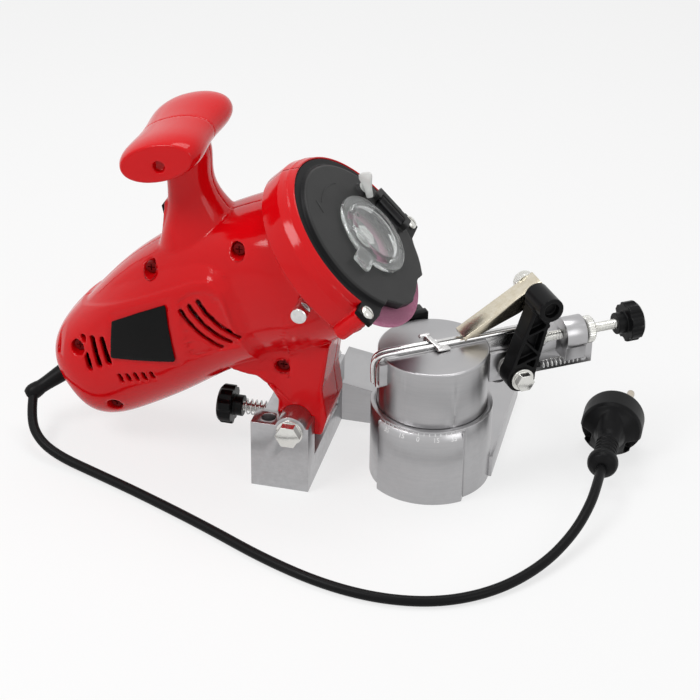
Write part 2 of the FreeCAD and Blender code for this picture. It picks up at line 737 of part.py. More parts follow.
def build_spindle():
    """Wheel, flanges, nut, shaft and what turns with it."""
    half = WHEEL_T / 2
    wheel = cyl(WHEEL_R, along(-half), along(half))
    wheel = wheel.makeChamfer(0.5, [e for e in wheel.Edges if e.Curve.TypeId == "Part::GeomCircle"])
    save("grinding_wheel", on_head(wheel.cut(cyl(WHEEL_BORE_R, along(-9), along(9)))))
    inner_back = -half - INNER_FLANGE_T
    inner = cyl(FLANGE_R, along(inner_back), along(-half)).fuse(cyl(WHEEL_BORE_R, along(-half), along(half)))
    save("inner_flange", on_head(inner.cut(cyl(THREAD_R, along(-20), along(20)))))
    outer_front = half + OUTER_FLANGE_T
    save("outer_flange", on_head(tube(FLANGE_R, THREAD_R, along(half), along(outer_front))))
    nut = hexagon(NUT_AF, along(outer_front), along(outer_front + NUT_H))
    save("wheel_nut", on_head(nut.cut(cyl(THREAD_R, along(0), along(20)))))
    nose = cyl(THREAD_R, along(inner_back), along(outer_front + NUT_H + 1.2))
    shaft = cyl(SPINDLE_R, along(REAR_BEARING_A + REAR_BEARING_T + 1), along(inner_back))
    journal = cyl(REAR_JOURNAL_R, along(REAR_BEARING_A + GAP), along(REAR_BEARING_A + REAR_BEARING_T + 1))
    collar_a = LOCK_A - LOCK_COLLAR_T / 2
    collar = cyl(LOCK_COLLAR_R, along(collar_a), along(collar_a + LOCK_COLLAR_T))
    for i in range(4):
        hole = cyl(3.4, along(LOCK_A, -30), along(LOCK_A, -LOCK_COLLAR_R + 5))
        hole.rotate(along(0), X, 90 * i)
        collar = collar.cut(hole)
    save("spindle", on_head(fused([nose, shaft, journal, collar])))
    save("rotor_core", on_head(rotor_shape()))
    save("cooling_fan", on_head(fan_shape()))
    end = COMMUTATOR_A + COMMUTATOR_T
    save("commutator", on_head(tube(COMMUTATOR_R, SPINDLE_R, along(COMMUTATOR_A), along(end))))


def rotor_shape():
    """Slotted armature stack."""
    core = tube(ROTOR_R, SPINDLE_R, along(ROTOR_A), along(ROTOR_A + ROTOR_T))
    for i in range(10):
        slot = box(ROTOR_A - 1, ROTOR_A + ROTOR_T + 1, -1.2, 1.2, ROTOR_R - 5, ROTOR_R + 1)
        slot.rotate(along(0), X, 36 * i)
        core = core.cut(slot)
    return core


def fan_shape():
    """Radial fan: a disc with straight blades on a hub."""
    hub = tube(8.5, SPINDLE_R, along(FAN_A), along(FAN_A + FAN_T))
    disc = tube(FAN_R, SPINDLE_R, along(FAN_A), along(FAN_A + 1.6))
    blades = [hub, disc]
    for i in range(FAN_BLADES):
        blade = box(FAN_A + 1, FAN_A + FAN_T, -0.7, 0.7, 7.5, FAN_R - 0.5)
        blade.rotate(along(0), X, 360.0 / FAN_BLADES * i)
        blades.append(blade)
    return fused(blades)


def stator_shape():
    """Field stack round the armature."""
    return tube(STATOR_R, ROTOR_R + AIR_GAP, along(ROTOR_A), along(ROTOR_A + ROTOR_T))


def coil_slots(grow):
    """Bars of the field coils inside the stack."""
    bars = []
    for i in range(4):
        low = STATOR_R - 5 - grow
        high = STATOR_R - 2 + grow
        bar = box(ROTOR_A - 1, ROTOR_A + ROTOR_T + 1, -3 - grow, 3 + grow, low, high)
        bar.rotate(along(0), X, 45 + 90 * i)
        bars.append(bar)
    return bars[0].multiFuse(bars[1:])


def field_coils():
    """Both end turns of the field coils, joined by the bars through the stack."""
    inner = ROTOR_R + AIR_GAP + 1
    rings = [tube(STATOR_R - 1, inner, along(ROTOR_A - COIL_T), along(ROTOR_A)),
             tube(STATOR_R - 1, inner, along(ROTOR_A + ROTOR_T), along(ROTOR_A + ROTOR_T + COIL_T))]
    return fused(rings + [coil_slots(0.0)])


def brush_shape(side):
    """Carbon brush let into the housing, its inner end just off the commutator."""
    middle = COMMUTATOR_A + COMMUTATOR_T / 2
    ends = (side * (COMMUTATOR_R + GAP), side * (STATOR_R + BRUSH_SINK))
    return box(middle - BRUSH_T / 2, middle + BRUSH_T / 2, min(ends), max(ends), -BRUSH_W / 2, BRUSH_W / 2)


def build_motor():
    """Bearings, stator stack, field coils and brushes that stay in the shells."""
    front = (along(FRONT_BEARING_A), along(FRONT_BEARING_A + FRONT_BEARING_T))
    save("front_bearing", on_head(tube(FRONT_BEARING_R, SPINDLE_R + RUN, front[0], front[1])))
    rear = (along(REAR_BEARING_A), along(REAR_BEARING_A + REAR_BEARING_T))
    save("rear_bearing", on_head(tube(REAR_BEARING_R, REAR_JOURNAL_R + RUN, rear[0], rear[1])))
    save("stator_core", on_head(stator_shape().cut(coil_slots(FIT))))
    save("field_coils", on_head(field_coils()))
    for i, side in enumerate((-1, 1)):
        save("brush_" + str(i + 1), on_head(brush_shape(side)))


def build_lock_pin():
    """Push pin that stops the spindle while the wheel is changed."""
    tip = -LOCK_COLLAR_R - 1.6
    bar = cyl(LOCK_R, along(LOCK_A, -63), along(LOCK_A, -26))
    nose = cyl(3.0, along(LOCK_A, -26), along(LOCK_A, tip))
    flat = box(LOCK_A + 2.6, LOCK_A + 9, -70, -55, -9, 9)
    save("lock_pin", on_head(bar.fuse(nose).cut(flat)))


# Base casting and pivot

def base_shape():
    """One casting: pivot fork, rear bridge, bench foot and the swivel collar with its scale pad."""
    parts = []
    for side in (-1, 1):
        low = min(side * FORK_IN, side * FORK_OUT)
        high = max(side * FORK_IN, side * FORK_OUT)
        parts.append(box(FORK_LEFT, FORK_RIGHT, low, high, 0, FORK_TOP))
        parts.append(cyl(SADDLE_R, V(PIVOT_X, low, PIVOT_Z), V(PIVOT_X, high, PIVOT_Z)))
    parts.append(box(FORK_LEFT, FORK_RIGHT, -FORK_IN, FORK_IN, 0, FORK_FLOOR))
    parts.append(box(FORK_LEFT, FORK_LEFT + FORK_WALL, -FORK_IN, FORK_IN, 0, DEPTH_Z + 9))
    bridge = prism([V(FORK_RIGHT - 6, PLATE_FRONT, 0), V(FOOT_RIGHT, PLATE_FRONT, 0),
                    V(FOOT_RIGHT, PLATE_FRONT, FOOT_T), V(FOOT_RIGHT - 26, PLATE_FRONT, FOOT_T),
                    V(FORK_RIGHT - 6, PLATE_FRONT, PLATE_TOP)], Y * (PLATE_BACK - PLATE_FRONT))
    parts.append(bridge)
    foot = box(FOOT_RIGHT - 28, FOOT_RIGHT, PLATE_FRONT, FOOT_BACK, 0, FOOT_T)
    corners = [e for e in foot.Edges if e.BoundBox.ZLength > 1 and e.BoundBox.YMin > PLATE_BACK]
    parts.append(foot.makeFillet(9, corners))
    parts.append(box(COLLAR_R - 9, FOOT_RIGHT, 0, PLATE_FRONT + 1, 0, FOOT_T))
    parts.append(box(-26, 26, 15, PLATE_FRONT + 1, 0, PLATE_TOP - 11))
    parts.append(cyl(COLLAR_R, V(0, 0, 0), V(0, 0, COLLAR_TOP)))
    pad = cyl(PAD_R, V(0, 0, 0), V(0, 0, PAD_TOP)).common(box(-PAD_HALF, PAD_HALF, -60, 0, 0, 60))
    parts.append(pad)
    casting = fused(parts)
    casting = casting.cut(cyl(DRUM_R + GAP, V(0, 0, COLLAR_FLOOR), V(0, 0, COLLAR_TOP + 9)))
    casting = casting.cut(cyl(SWIVEL_BOLT_R, V(0, 0, -1), V(0, 0, 20)))
    casting = casting.cut(cyl(SWIVEL_HEAD_R + FIT, V(0, 0, -1), V(0, 0, SWIVEL_HEAD_T)))
    casting = casting.cut(cyl(PIVOT_R, V(PIVOT_X, -90, PIVOT_Z), V(PIVOT_X, 90, PIVOT_Z)))
    for x, y in ((BENCH_HOLE_X, BENCH_HOLE_Y), (FOOT_HOLE_X, FOOT_HOLE_Y)):
        casting = casting.cut(cyl(BENCH_HOLE_R, V(x, y, -1), V(x, y, 90)))
    casting = casting.cut(cyl(ROD_R + RUN, V(FORK_LEFT - 9, 0, DEPTH_Z), V(FORK_LEFT + 20, 0, DEPTH_Z)))
    return casting


def build_base():
    """Casting, pivot bolt with nut and bush, and the return spring."""
    save("base_casting", base_shape())
    front = -FORK_OUT
    shank = cyl(PIVOT_R, V(PIVOT_X, front, PIVOT_Z), V(PIVOT_X, FORK_OUT + 9, PIVOT_Z))
    washer = cyl(8, V(PIVOT_X, front - 1.6, PIVOT_Z), V(PIVOT_X, front, PIVOT_Z))
    head = hexagon(PIVOT_AF, V(PIVOT_X, front - 7, PIVOT_Z), V(PIVOT_X, front - 1.6, PIVOT_Z))
    save("pivot_bolt", fused([shank, washer, head]))
    nut = hexagon(PIVOT_AF, V(PIVOT_X, FORK_OUT, PIVOT_Z), V(PIVOT_X, FORK_OUT + 7, PIVOT_Z))
    save("pivot_nut", nut.cut(cyl(PIVOT_R, V(PIVOT_X, 0, PIVOT_Z), V(PIVOT_X, 90, PIVOT_Z))))
    bush_ends = (V(PIVOT_X, FOOT_FRONT, PIVOT_Z), V(PIVOT_X, FORK_IN - GAP, PIVOT_Z))
    save("pivot_bush", tube(BUSH_R, PIVOT_R + RUN, bush_ends[0], bush_ends[1]))
    turns = 4
    wire = 2.0
    pitch = wire + 0.8
    base = V(PIVOT_X, FOOT_REAR + 0.3 + wire / 2, PIVOT_Z)
    save("return_spring", coil(BUSH_R + GAP + wire / 2 + 0.4, pitch, turns, base, Y, wire, 8.0))


def build_depth_stop():
    """Screw that sets how far the head swings down, its star knob and its spring."""
    tip = V(DEPTH_TIP, 0, DEPTH_Z)
    save("depth_screw", cyl(ROD_R, V(DEPTH_KNOB_X + KNOB_L + HUB_L - KNOB_BORE, 0, DEPTH_Z), tip))
    knob = star_knob(V(DEPTH_KNOB_X, 0, DEPTH_Z), V(1, 0, 0))
    save("depth_knob", knob)
    start = DEPTH_KNOB_X + KNOB_L + HUB_L + GAP + SPRING_WIRE
    length = FORK_LEFT - GAP - SPRING_WIRE - start
    turns = 5
    spring = coil(DEPTH_SPRING_R, length / turns, turns, V(start, 0, DEPTH_Z), X, SPRING_WIRE, SPRING_WIRE)
    save("depth_spring", spring)


def star_knob(start, axis):
    """Moulded knob with scalloped rim and a hub on the screw's side, starting at its outer face."""
    head = revolve([(0, 0), (0, KNOB_R - 2.0), (1.8, KNOB_R), (KNOB_L, KNOB_R), (KNOB_L, 0)], V(0, 0, 0), Z)
    head = head.fuse(cyl(6.5, V(0, 0, KNOB_L), V(0, 0, KNOB_L + HUB_L)))
    for i in range(KNOB_LOBES):
        angle = 2 * math.pi * i / KNOB_LOBES
        centre = V((KNOB_R + 2.2) * math.cos(angle), (KNOB_R + 2.2) * math.sin(angle), -1)
        head = head.cut(cyl(3.6, centre, centre + Z * (KNOB_L + 2)))
    bore = KNOB_L + HUB_L - KNOB_BORE - GAP
    head = head.cut(cyl(ROD_R + RUN, V(0, 0, bore), V(0, 0, KNOB_L + HUB_L + 1)))
    head.Placement = FreeCAD.Placement(start, FreeCAD.Rotation(Z, axis))
    return head


# Turntable and vise, drawn with the chain along X

def drum_shape():
    """Cast drum with its arm, the screw lug and the slot that carries the jaws."""
    drum = cyl(DRUM_R, V(0, 0, COLLAR_FLOOR + GAP), V(0, 0, DRUM_TOP))
    drum = drum.makeFillet(1.2, [e for e in drum.Edges if abs(e.BoundBox.ZMin - DRUM_TOP) < 0.01])
    arm = box(0, ARM_END, -ARM_Q, ARM_Q, ARM_LOW, ARM_TOP)
    pad = box(34, 54, -ARM_Q - 1.0, ARM_Q, ARM_LOW, ARM_TOP + 2)
    ear = box(-DRUM_R - 4, 0, -ARM_Q - 2, ARM_Q, DRUM_TOP - 16, DRUM_TOP - 2)
    lug = cyl(LUG_R, V(LUG_LEFT, ROD_Q, ROD_Z), V(LUG_RIGHT, ROD_Q, ROD_Z))
    stem = box(LUG_LEFT, LUG_RIGHT, ROD_Q - LUG_R + 2, ARM_Q, ARM_TOP - 3, ROD_Z)
    gusset = prism([V(LUG_LEFT - 14, -ARM_Q - 3, ARM_TOP - 2), V(LUG_LEFT + 1, -ARM_Q - 3, ARM_TOP - 2),
                    V(LUG_LEFT + 1, -ARM_Q - 3, ROD_Z - 2)], Y * 6)
    anchor = V(LUG_RIGHT + 2, 0, STOP_Z + 2)
    spring_pin = cyl(1.6, anchor, anchor + Y * (ROD_Q - 3))
    table = fused([drum, arm, pad, ear, lug, stem, gusset, spring_pin])
    slot = JAW_T + JAW_GAP / 2
    table = table.cut(box(JAW_LEFT - 9, JAW_RIGHT + GAP, -slot - GAP, slot, JAW_LOW, 120))
    table = table.cut(cyl(ROD_R + RUN, V(50, ROD_Q, ROD_Z), V(130, ROD_Q, ROD_Z)))
    table = table.cut(cyl(STOP_BOLT_R, V(STOP_S, -20, STOP_Z), V(STOP_S, 0, STOP_Z)))
    table = table.cut(cyl(SWIVEL_BOLT_R + RUN, V(0, 0, 0), V(0, 0, SWIVEL_BOLT_TOP + 1)))
    for s in CLAMP_RODS:
        table = table.cut(cyl(CLAMP_R + RUN, V(s, -20, CLAMP_Z), V(s, 60, CLAMP_Z)))
    table = table.cut(box(-0.5, 0.5, -DRUM_R - 1, -DRUM_R + 0.5, COLLAR_TOP + 1, COLLAR_TOP + 8))
    return table


def jaw_shape(start):
    """Thin steel jaw, its outer end rounded down."""
    plate = box(JAW_LEFT, JAW_RIGHT, start, start + JAW_T, JAW_LOW + GAP, JAW_TOP)
    ends = [e for e in plate.Edges if e.BoundBox.YLength > 1 and e.BoundBox.XMax < JAW_LEFT + 1]
    return plate.makeFillet(9, [e for e in ends if e.BoundBox.ZMin > JAW_TOP - 1])


def build_table():
    """Drum, swivel bolt, both jaws and the clamp behind the drum."""
    save("turntable", on_table(drum_shape()))
    bolt = cyl(SWIVEL_BOLT_R, V(0, 0, 0), V(0, 0, SWIVEL_BOLT_TOP))
    save("swivel_bolt", bolt.fuse(cyl(SWIVEL_HEAD_R, V(0, 0, 0), V(0, 0, SWIVEL_HEAD_T))).removeSplitter())
    front = -JAW_T - JAW_GAP / 2
    tail = box(JAW_RIGHT - 6 + GAP, JAW_RIGHT + 4, front - 1.5, front, ARM_TOP + GAP, JAW_TOP)
    save("front_jaw", on_table(jaw_shape(front).fuse(tail).cut(clamp_holes(CLAMP_R))))
    save("rear_jaw", on_table(jaw_shape(JAW_GAP / 2).cut(clamp_holes(CLAMP_R + GAP))))
    build_clamp(front)


def clamp_holes(radius):
    """Pair of holes for the clamp rods."""
    return fused([cyl(radius, V(s, -20, CLAMP_Z), V(s, 60, CLAMP_Z)) for s in CLAMP_RODS])


def build_clamp(front):
    """Yoke with its two clamp rods, and the cam lever that draws them."""
    middle = sum(CLAMP_RODS) / 2
    low = CLAMP_HUB_Q - 9.5
    rods = [cyl(CLAMP_R, V(s, front, CLAMP_Z), V(s, low + 1, CLAMP_Z)) for s in CLAMP_RODS]
    block = box(middle - 9, middle + 9, low, low + 5, CLAMP_Z - 5, CLAMP_Z + 12)
    ears = [box(middle - 9, middle - 5.5, low, CLAMP_HUB_Q + 4, CLAMP_HUB_Z - 4, CLAMP_HUB_Z + 4),
            box(middle + 5.5, middle + 9, low, CLAMP_HUB_Q + 4, CLAMP_HUB_Z - 4, CLAMP_HUB_Z + 4)]
    pin = (V(middle - 9, CLAMP_HUB_Q, CLAMP_HUB_Z), V(middle + 9, CLAMP_HUB_Q, CLAMP_HUB_Z))
    yoke = fused([block] + ears + rods)
    save("clamp_yoke", on_table(yoke.cut(cyl(CLAMP_PIN_R + RUN, pin[0] - X, pin[1] + X))))
    half = 5.5 - GAP
    hub = cyl(4.0, V(middle - half, CLAMP_HUB_Q, CLAMP_HUB_Z), V(middle + half, CLAMP_HUB_Q, CLAMP_HUB_Z))
    end = CLAMP_HUB_Q + 42
    grip = box(middle - half, middle + half, CLAMP_HUB_Q, end, CLAMP_HUB_Z - 3.5, CLAMP_HUB_Z + 4)
    grip = grip.makeFillet(3, [e for e in grip.Edges if e.BoundBox.XLength > 5 and e.BoundBox.YMin > end - 1])
    save("clamp_lever", on_table(fused([hub, grip, cyl(CLAMP_PIN_R, pin[0], pin[1])])))


# Chain stop

def build_chain_stop():
    """Tilting arm, its pivot bolt and washers, pawl, springs and adjusting screw."""
    save("stop_arm", on_table(stop_arm()))
    near = STOP_Q - STOP_T
    shank = cyl(STOP_BOLT_R, V(STOP_S, near - GAP, STOP_Z), V(STOP_S, -JAW_T - 4, STOP_Z))
    flange = cyl(7.0, V(STOP_S, near - 1.8 - GAP, STOP_Z), V(STOP_S, near - GAP, STOP_Z))
    head = hexagon(10, V(STOP_S, near - 6.5, STOP_Z), V(STOP_S, near - 1.8 - GAP, STOP_Z))
    save("stop_bolt", on_table(fused([shank, flange, head])))
    seat = -ARM_Q - 1.0
    washer = tube(8.0, STOP_BOLT_R, V(STOP_S, STOP_Q + GAP, STOP_Z), V(STOP_S, seat, STOP_Z))
    save("stop_washer", on_table(washer))
    save("stop_pawl", on_table(pawl_shape()))
    rear = PAWL_W / 2
    inner_end = V(STOP_TOP_S, STOP_TUBE_END + 9, STOP_TOP_Z)
    save("pawl_bolt", on_table(cyl(PAWL_PIN_R, inner_end, V(STOP_TOP_S, rear + 8, STOP_TOP_Z))))
    nut = hexagon(10, V(STOP_TOP_S, rear + GAP, STOP_TOP_Z), V(STOP_TOP_S, rear + 6, STOP_TOP_Z))
    nut = nut.cut(cyl(PAWL_PIN_R, V(STOP_TOP_S, 0, STOP_TOP_Z), V(STOP_TOP_S, 40, STOP_TOP_Z)))
    save("pawl_nut", on_table(nut))
    peg = V(STOP_S + 13.5, ROD_Q, STOP_Z + 2)
    anchor = V(LUG_RIGHT + 2, ROD_Q, STOP_Z + 2)
    start = peg.x + 2.4
    turns = 9
    pitch = (anchor.x - 2.2 - start) / turns
    spring = coil(2.2, pitch, turns, V(start, ROD_Q, peg.z), X, 0.9, 0.9)
    save("stop_spring", on_table(spring))
    build_adjuster()


def stop_arm():
    """Black moulded arm: two bosses joined by flanges with triangular webs, and a spring peg."""
    near = STOP_Q - STOP_T
    lower = V(STOP_S, near, STOP_Z)
    upper = V(STOP_TOP_S, near, STOP_TOP_Z)
    lean = (upper - lower).normalize()
    side = V(lean.z, 0, -lean.x)
    length = (upper - lower).Length
    outline = [lower + side * 8.5, upper + side * 6, upper - side * 6, lower - side * 8.5]
    plate = prism([p + Y * (STOP_T / 2 - 1.2) for p in outline], Y * 2.4)
    rims = []
    for sign in (-1, 1):
        a = lower + side * (8.5 * sign)
        b = upper + side * (6 * sign)
        inward = side * (-2.2 * sign)
        rims.append(prism([a, b, b + inward, a + inward], Y * STOP_T))
    webs = []
    steps = 4
    for i in range(steps):
        sign = 1 if i % 2 else -1
        a = lower + lean * (length * (i + 0.5) / (steps + 1)) + side * (7.5 * sign)
        b = lower + lean * (length * (i + 1.5) / (steps + 1)) - side * (7.5 * sign)
        webs.append(prism([a, b, b + lean * 1.8, a + lean * 1.8], Y * STOP_T))
    boss = cyl(STOP_BOSS_R, lower, lower + Y * STOP_T)
    tube_end = V(STOP_TOP_S, STOP_TUBE_END, STOP_TOP_Z)
    barrel = cyl(STOP_TUBE_R, tube_end, V(STOP_TOP_S, -PAWL_W / 2 - GAP, STOP_TOP_Z))
    peg = cyl(2.0, V(STOP_S + 4, ROD_Q, STOP_Z + 2), V(STOP_S + 15.5, ROD_Q, STOP_Z + 2))
    arm = fused([plate, boss, barrel, peg] + rims + webs)
    arm = arm.cut(cyl(STOP_BOLT_R + RUN, V(STOP_S, -60, STOP_Z), V(STOP_S, 20, STOP_Z)))
    arm = arm.cut(cyl(PAWL_PIN_R, tube_end + Y * 9, V(STOP_TOP_S, 0, STOP_TOP_Z)))
    return arm.cut(cyl(4.6, tube_end - Y, tube_end + Y * 4))


def pawl_shape():
    """Folded steel channel from the arm's head down to the chain."""
    half = PAWL_W / 2
    under = PAWL_WEB
    web = box(-6.5, PAWL_L, -half, half, under, under + PAWL_T)
    cheeks = []
    for low in (-half, half - PAWL_T):
        cheek = prism([V(-6.5, low, -4.5), V(14, low, -4.5), V(PAWL_L - 8, low, 0), V(PAWL_L, low, under),
                       V(PAWL_L, low, under + 1), V(-6.5, low, under + 1)], Y * PAWL_T)
        cheeks.append(cheek)
    lip = prism([V(PAWL_L - PAWL_T, -half, under + PAWL_T), V(PAWL_L, -half, under + PAWL_T),
                 V(PAWL_L + 0.6, -half, under - 1), V(PAWL_L + 0.6 - PAWL_T, -half, under - 1)], Y * PAWL_W)
    pawl = fused([web, lip] + cheeks)
    pawl = pawl.cut(cyl(PAWL_PIN_R + RUN, V(0, -20, 0), V(0, 20, 0)))
    facing = FreeCAD.Rotation(Z, 180)
    drop = FreeCAD.Rotation(Y, -PAWL_DROP)
    pawl.Placement = FreeCAD.Placement(V(STOP_TOP_S, 0, STOP_TOP_Z), drop.multiply(facing))
    return pawl


def build_adjuster():
    """Adjusting screw with its knurled lock nut and star knob."""
    arm_face = STOP_S + (STOP_TOP_S - STOP_S) * (ROD_Z - STOP_Z) / (STOP_TOP_Z - STOP_Z) + 9.0
    start = V(arm_face + GAP, ROD_Q, ROD_Z)
    save("adjusting_screw", on_table(cyl(ROD_R, start, V(ROD_END, ROD_Q, ROD_Z))))
    low = V(LOCKNUT_S, ROD_Q, ROD_Z)
    save("lock_nut", on_table(tube(LOCKNUT_R, ROD_R + RUN, low, low + X * LOCKNUT_T)))
    knob_start = V(ROD_END + KNOB_L + HUB_L - KNOB_BORE, ROD_Q, ROD_Z)
    save("adjusting_knob", on_table(star_knob(knob_start, V(-1, 0, 0))))


# Mains cord and plug

def cord_path(points):
    """Straight runs joined by tangent arcs; prints the bend radii."""
    edges = []
    last = points[0]
    radii = []
    for before, corner, after in zip(points, points[1:], points[2:]):
        into = (corner - before).normalize()
        out = (after - corner).normalize()
        turn = into.getAngle(out)
        reach = 0.45 * min((corner - before).Length, (after - corner).Length)
        radius = reach / math.tan(turn / 2)
        radii.append(round(radius))
        enter = corner - into * reach
        leave = corner + out * reach
        bisect = (out - into).normalize()
        middle = corner + bisect * (radius / math.cos(turn / 2) - radius)
        edges.append(Part.makeLine(last, enter))
        edges.append(Part.Arc(enter, middle, leave).toShape())
        last = leave
    edges.append(Part.makeLine(last, points[-1]))
    print("cord bend radii", radii)
    return Part.Wire(edges)


def build_cord():
    """Strain-relief sleeve, cord, plug body and its two pins."""
    toward = (SLEEVE_END - SLEEVE_START).normalize()
    root = SLEEVE_START + toward * SLEEVE_ROOT
    sleeve = cyl(SLEEVE_R, SLEEVE_START, root).fuse(cone(SLEEVE_R, SLEEVE_END_R, root, SLEEVE_END))
    sleeve = sleeve.fuse(Part.makeSphere(SLEEVE_BALL_R, SLEEVE_END))
    beyond = cyl(3 * SLEEVE_R, CORD_POINTS[0] - CORD_EXIT * GAP, CORD_POINTS[0] + CORD_EXIT * 20)
    save("cord_sleeve", sleeve.cut(beyond))
    path = cord_path(CORD_POINTS)
    start = path.Edges[0].tangentAt(path.Edges[0].FirstParameter)
    section = Part.Wire([Part.makeCircle(CORD_R, CORD_POINTS[0], start)])
    cord = path.makePipeShell([section], True, False)
    full = math.pi * CORD_R ** 2 * path.Length
    print("cord length", round(path.Length), "volume share", round(cord.Volume / full, 3))
    save("mains_cord", cord)
    base = V(PLUG_X, PLUG_Y, PLUG_Z)
    profile = [(0, 0), (0, 5.0), (2, 8.0), (5, 9.2), (9, 9.2), (12, 7.0)]
    for i in range(4):
        rib = 13 + 3.6 * i
        profile += [(rib, 6.0), (rib, 7.0), (rib + 1.8, 7.0), (rib + 1.8, 6.0)]
    profile += [(30, 7.0), (36, 9.5), (41, 15.5), (44, PLUG_R), (PLUG_L - 2, PLUG_R), (PLUG_L, PLUG_R - 1.5)]
    profile += [(PLUG_L, 0)]
    plug = revolve(profile, base, Y)
    save("plug_body", plug)
    roll = math.radians(PIN_ROLL)
    for i, side in enumerate((-1, 1)):
        offset = V(math.cos(roll), 0, math.sin(roll)) * (side * PIN_PITCH / 2)
        root = base + Y * PLUG_L + offset
        save("plug_pin_" + str(i + 1), cyl(PIN_R, root, root + Y * PIN_L))


def main():
    """Build and write every node."""
    os.makedirs("parts", exist_ok=True)
    build_housing()
    build_switch()
    build_plate()
    build_guard()
    build_spindle()
    build_motor()
    build_lock_pin()
    build_base()
    build_depth_stop()
    build_table()
    build_chain_stop()
    build_cord()


main()
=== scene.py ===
"""Looks of the bench chain grinder: moulded shells, castings, fittings, mains lead and studio."""
import json
import logging
import math
from contextlib import contextmanager
from dataclasses import dataclass, field
from enum import Enum
from typing import Any, Callable, Iterator, Sequence

import bpy
from mathutils import Matrix, Vector


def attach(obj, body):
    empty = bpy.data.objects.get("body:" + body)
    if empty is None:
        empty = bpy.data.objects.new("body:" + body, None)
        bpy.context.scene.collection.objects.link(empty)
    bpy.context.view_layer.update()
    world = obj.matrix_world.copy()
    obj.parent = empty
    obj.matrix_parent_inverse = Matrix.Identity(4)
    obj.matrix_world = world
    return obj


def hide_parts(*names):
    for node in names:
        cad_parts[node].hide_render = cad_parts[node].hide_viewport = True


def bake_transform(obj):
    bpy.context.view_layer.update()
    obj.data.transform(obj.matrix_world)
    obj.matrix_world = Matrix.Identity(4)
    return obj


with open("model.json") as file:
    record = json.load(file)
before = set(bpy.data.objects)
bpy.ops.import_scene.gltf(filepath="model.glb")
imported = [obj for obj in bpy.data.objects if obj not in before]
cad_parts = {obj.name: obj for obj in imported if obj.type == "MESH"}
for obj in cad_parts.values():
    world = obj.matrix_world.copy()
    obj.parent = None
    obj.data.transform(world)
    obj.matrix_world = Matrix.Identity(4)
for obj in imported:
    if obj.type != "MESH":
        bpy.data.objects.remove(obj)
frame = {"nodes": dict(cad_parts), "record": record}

LOG = logging.getLogger("chain_grinder")
MM = 0.001
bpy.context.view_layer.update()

Point = tuple[float, float, float]
Colour = tuple[float, float, float, float]
Outline = tuple[tuple[float, float], ...]


# Places

@dataclass(frozen=True)
class Seat:
    """Local axes that a sub-assembly is drawn in, as an origin in millimetres and two angles."""

    origin: Point = (0.0, 0.0, 0.0)
    tilt: float = 0.0
    turn: float = 0.0

    def matrix(self) -> Matrix:
        """Work the axes out.

        Returns:
            Matrix from local metres to the model's metres.
        """
        place = Matrix.Translation(Vector(self.origin) * MM)
        turned = Matrix.Rotation(math.radians(self.turn), 4, "Z")
        return place @ turned @ Matrix.Rotation(math.radians(-self.tilt), 4, "Y")

    def point(self, x: float, y: float, z: float) -> Vector:
        """Model point, in metres, of a local one in millimetres."""
        return self.matrix() @ (Vector((x, y, z)) * MM)


BENCH = Seat()
HEAD = Seat((-50.0, 0.0, 145.0), tilt=44.0)
VISE = Seat(turn=35.0)


class Slot(Enum):
    """Material slots of the record."""

    RED = "red_shell"
    MOULDING = "black_moulding"
    RUBBER = "black_rubber"
    CLEAR = "clear_window"
    ABRASIVE = "abrasive"
    CASTING = "cast_alloy"
    STEEL = "steel"
    PLATED = "plated"
    COPPER = "copper"
    CARBON = "carbon"
    LABEL = "label"


# Hand tools: operators on one object at a time

def deselect() -> None:
    """Leave nothing selected."""
    bpy.ops.object.select_all(action="DESELECT")


def take(obj: bpy.types.Object) -> None:
    """Select one object alone and make it active.

    Args:
        obj: object to work on.
    """
    deselect()
    obj.select_set(True)
    bpy.context.view_layer.objects.active = obj


@contextmanager
def editing(obj: bpy.types.Object) -> Iterator[bpy.types.Object]:
    """Edit mode on one object, left again afterwards.

    Args:
        obj: object to edit.

    Returns:
        The same object.
    """
    take(obj)
    bpy.ops.object.mode_set(mode="EDIT")
    yield obj
    bpy.ops.object.mode_set(mode="OBJECT")


def new_piece(name: str) -> bpy.types.Object:
    """Name the object that an operator has just added.

    Args:
        name: piece's name.

    Returns:
        The object.
    """
    obj = bpy.context.active_object
    obj.name = name
    obj.data.name = name
    return obj


def use(obj: bpy.types.Object, kind: str, **settings: Any) -> None:
    """Add a modifier, set it and apply it.

    Args:
        obj: object to change.
        kind: modifier type.
        settings: its properties.
    """
    take(obj)
    modifier = obj.modifiers.new(kind.lower(), kind)
    for key, value in settings.items():
        setattr(modifier, key, value)
    bpy.ops.object.modifier_apply(modifier=modifier.name)


def merge(obj: bpy.types.Object, distance: float = 0.00001) -> None:
    """Join doubled vertices and point every face outwards.

    Args:
        obj: object to clean.
        distance: largest gap closed, in metres.
    """
    with editing(obj):
        bpy.ops.mesh.select_all(action="SELECT")
        bpy.ops.mesh.remove_doubles(threshold=distance)
        bpy.ops.mesh.normals_make_consistent(inside=False)


def smooth(obj: bpy.types.Object, angle: float = 35.0) -> None:
    """Shade smooth across all but the sharper edges.

    Args:
        obj: object to shade.
        angle: sharpest smooth edge, in degrees.
    """
    take(obj)
    bpy.ops.object.shade_smooth_by_angle(angle=math.radians(angle))


def soften(obj: bpy.types.Object, width: float, segments: int = 2, angle: float = 40.0) -> None:
    """Round the sharp edges.

    Args:
        obj: object to change.
        width: width of the rounding, in millimetres.
        segments: facets across it.
        angle: bluntest edge that is rounded, in degrees.
    """
    use(obj, "BEVEL", width=width * MM, segments=segments, limit_method="ANGLE",
        angle_limit=math.radians(angle), use_clamp_overlap=True, harden_normals=False)


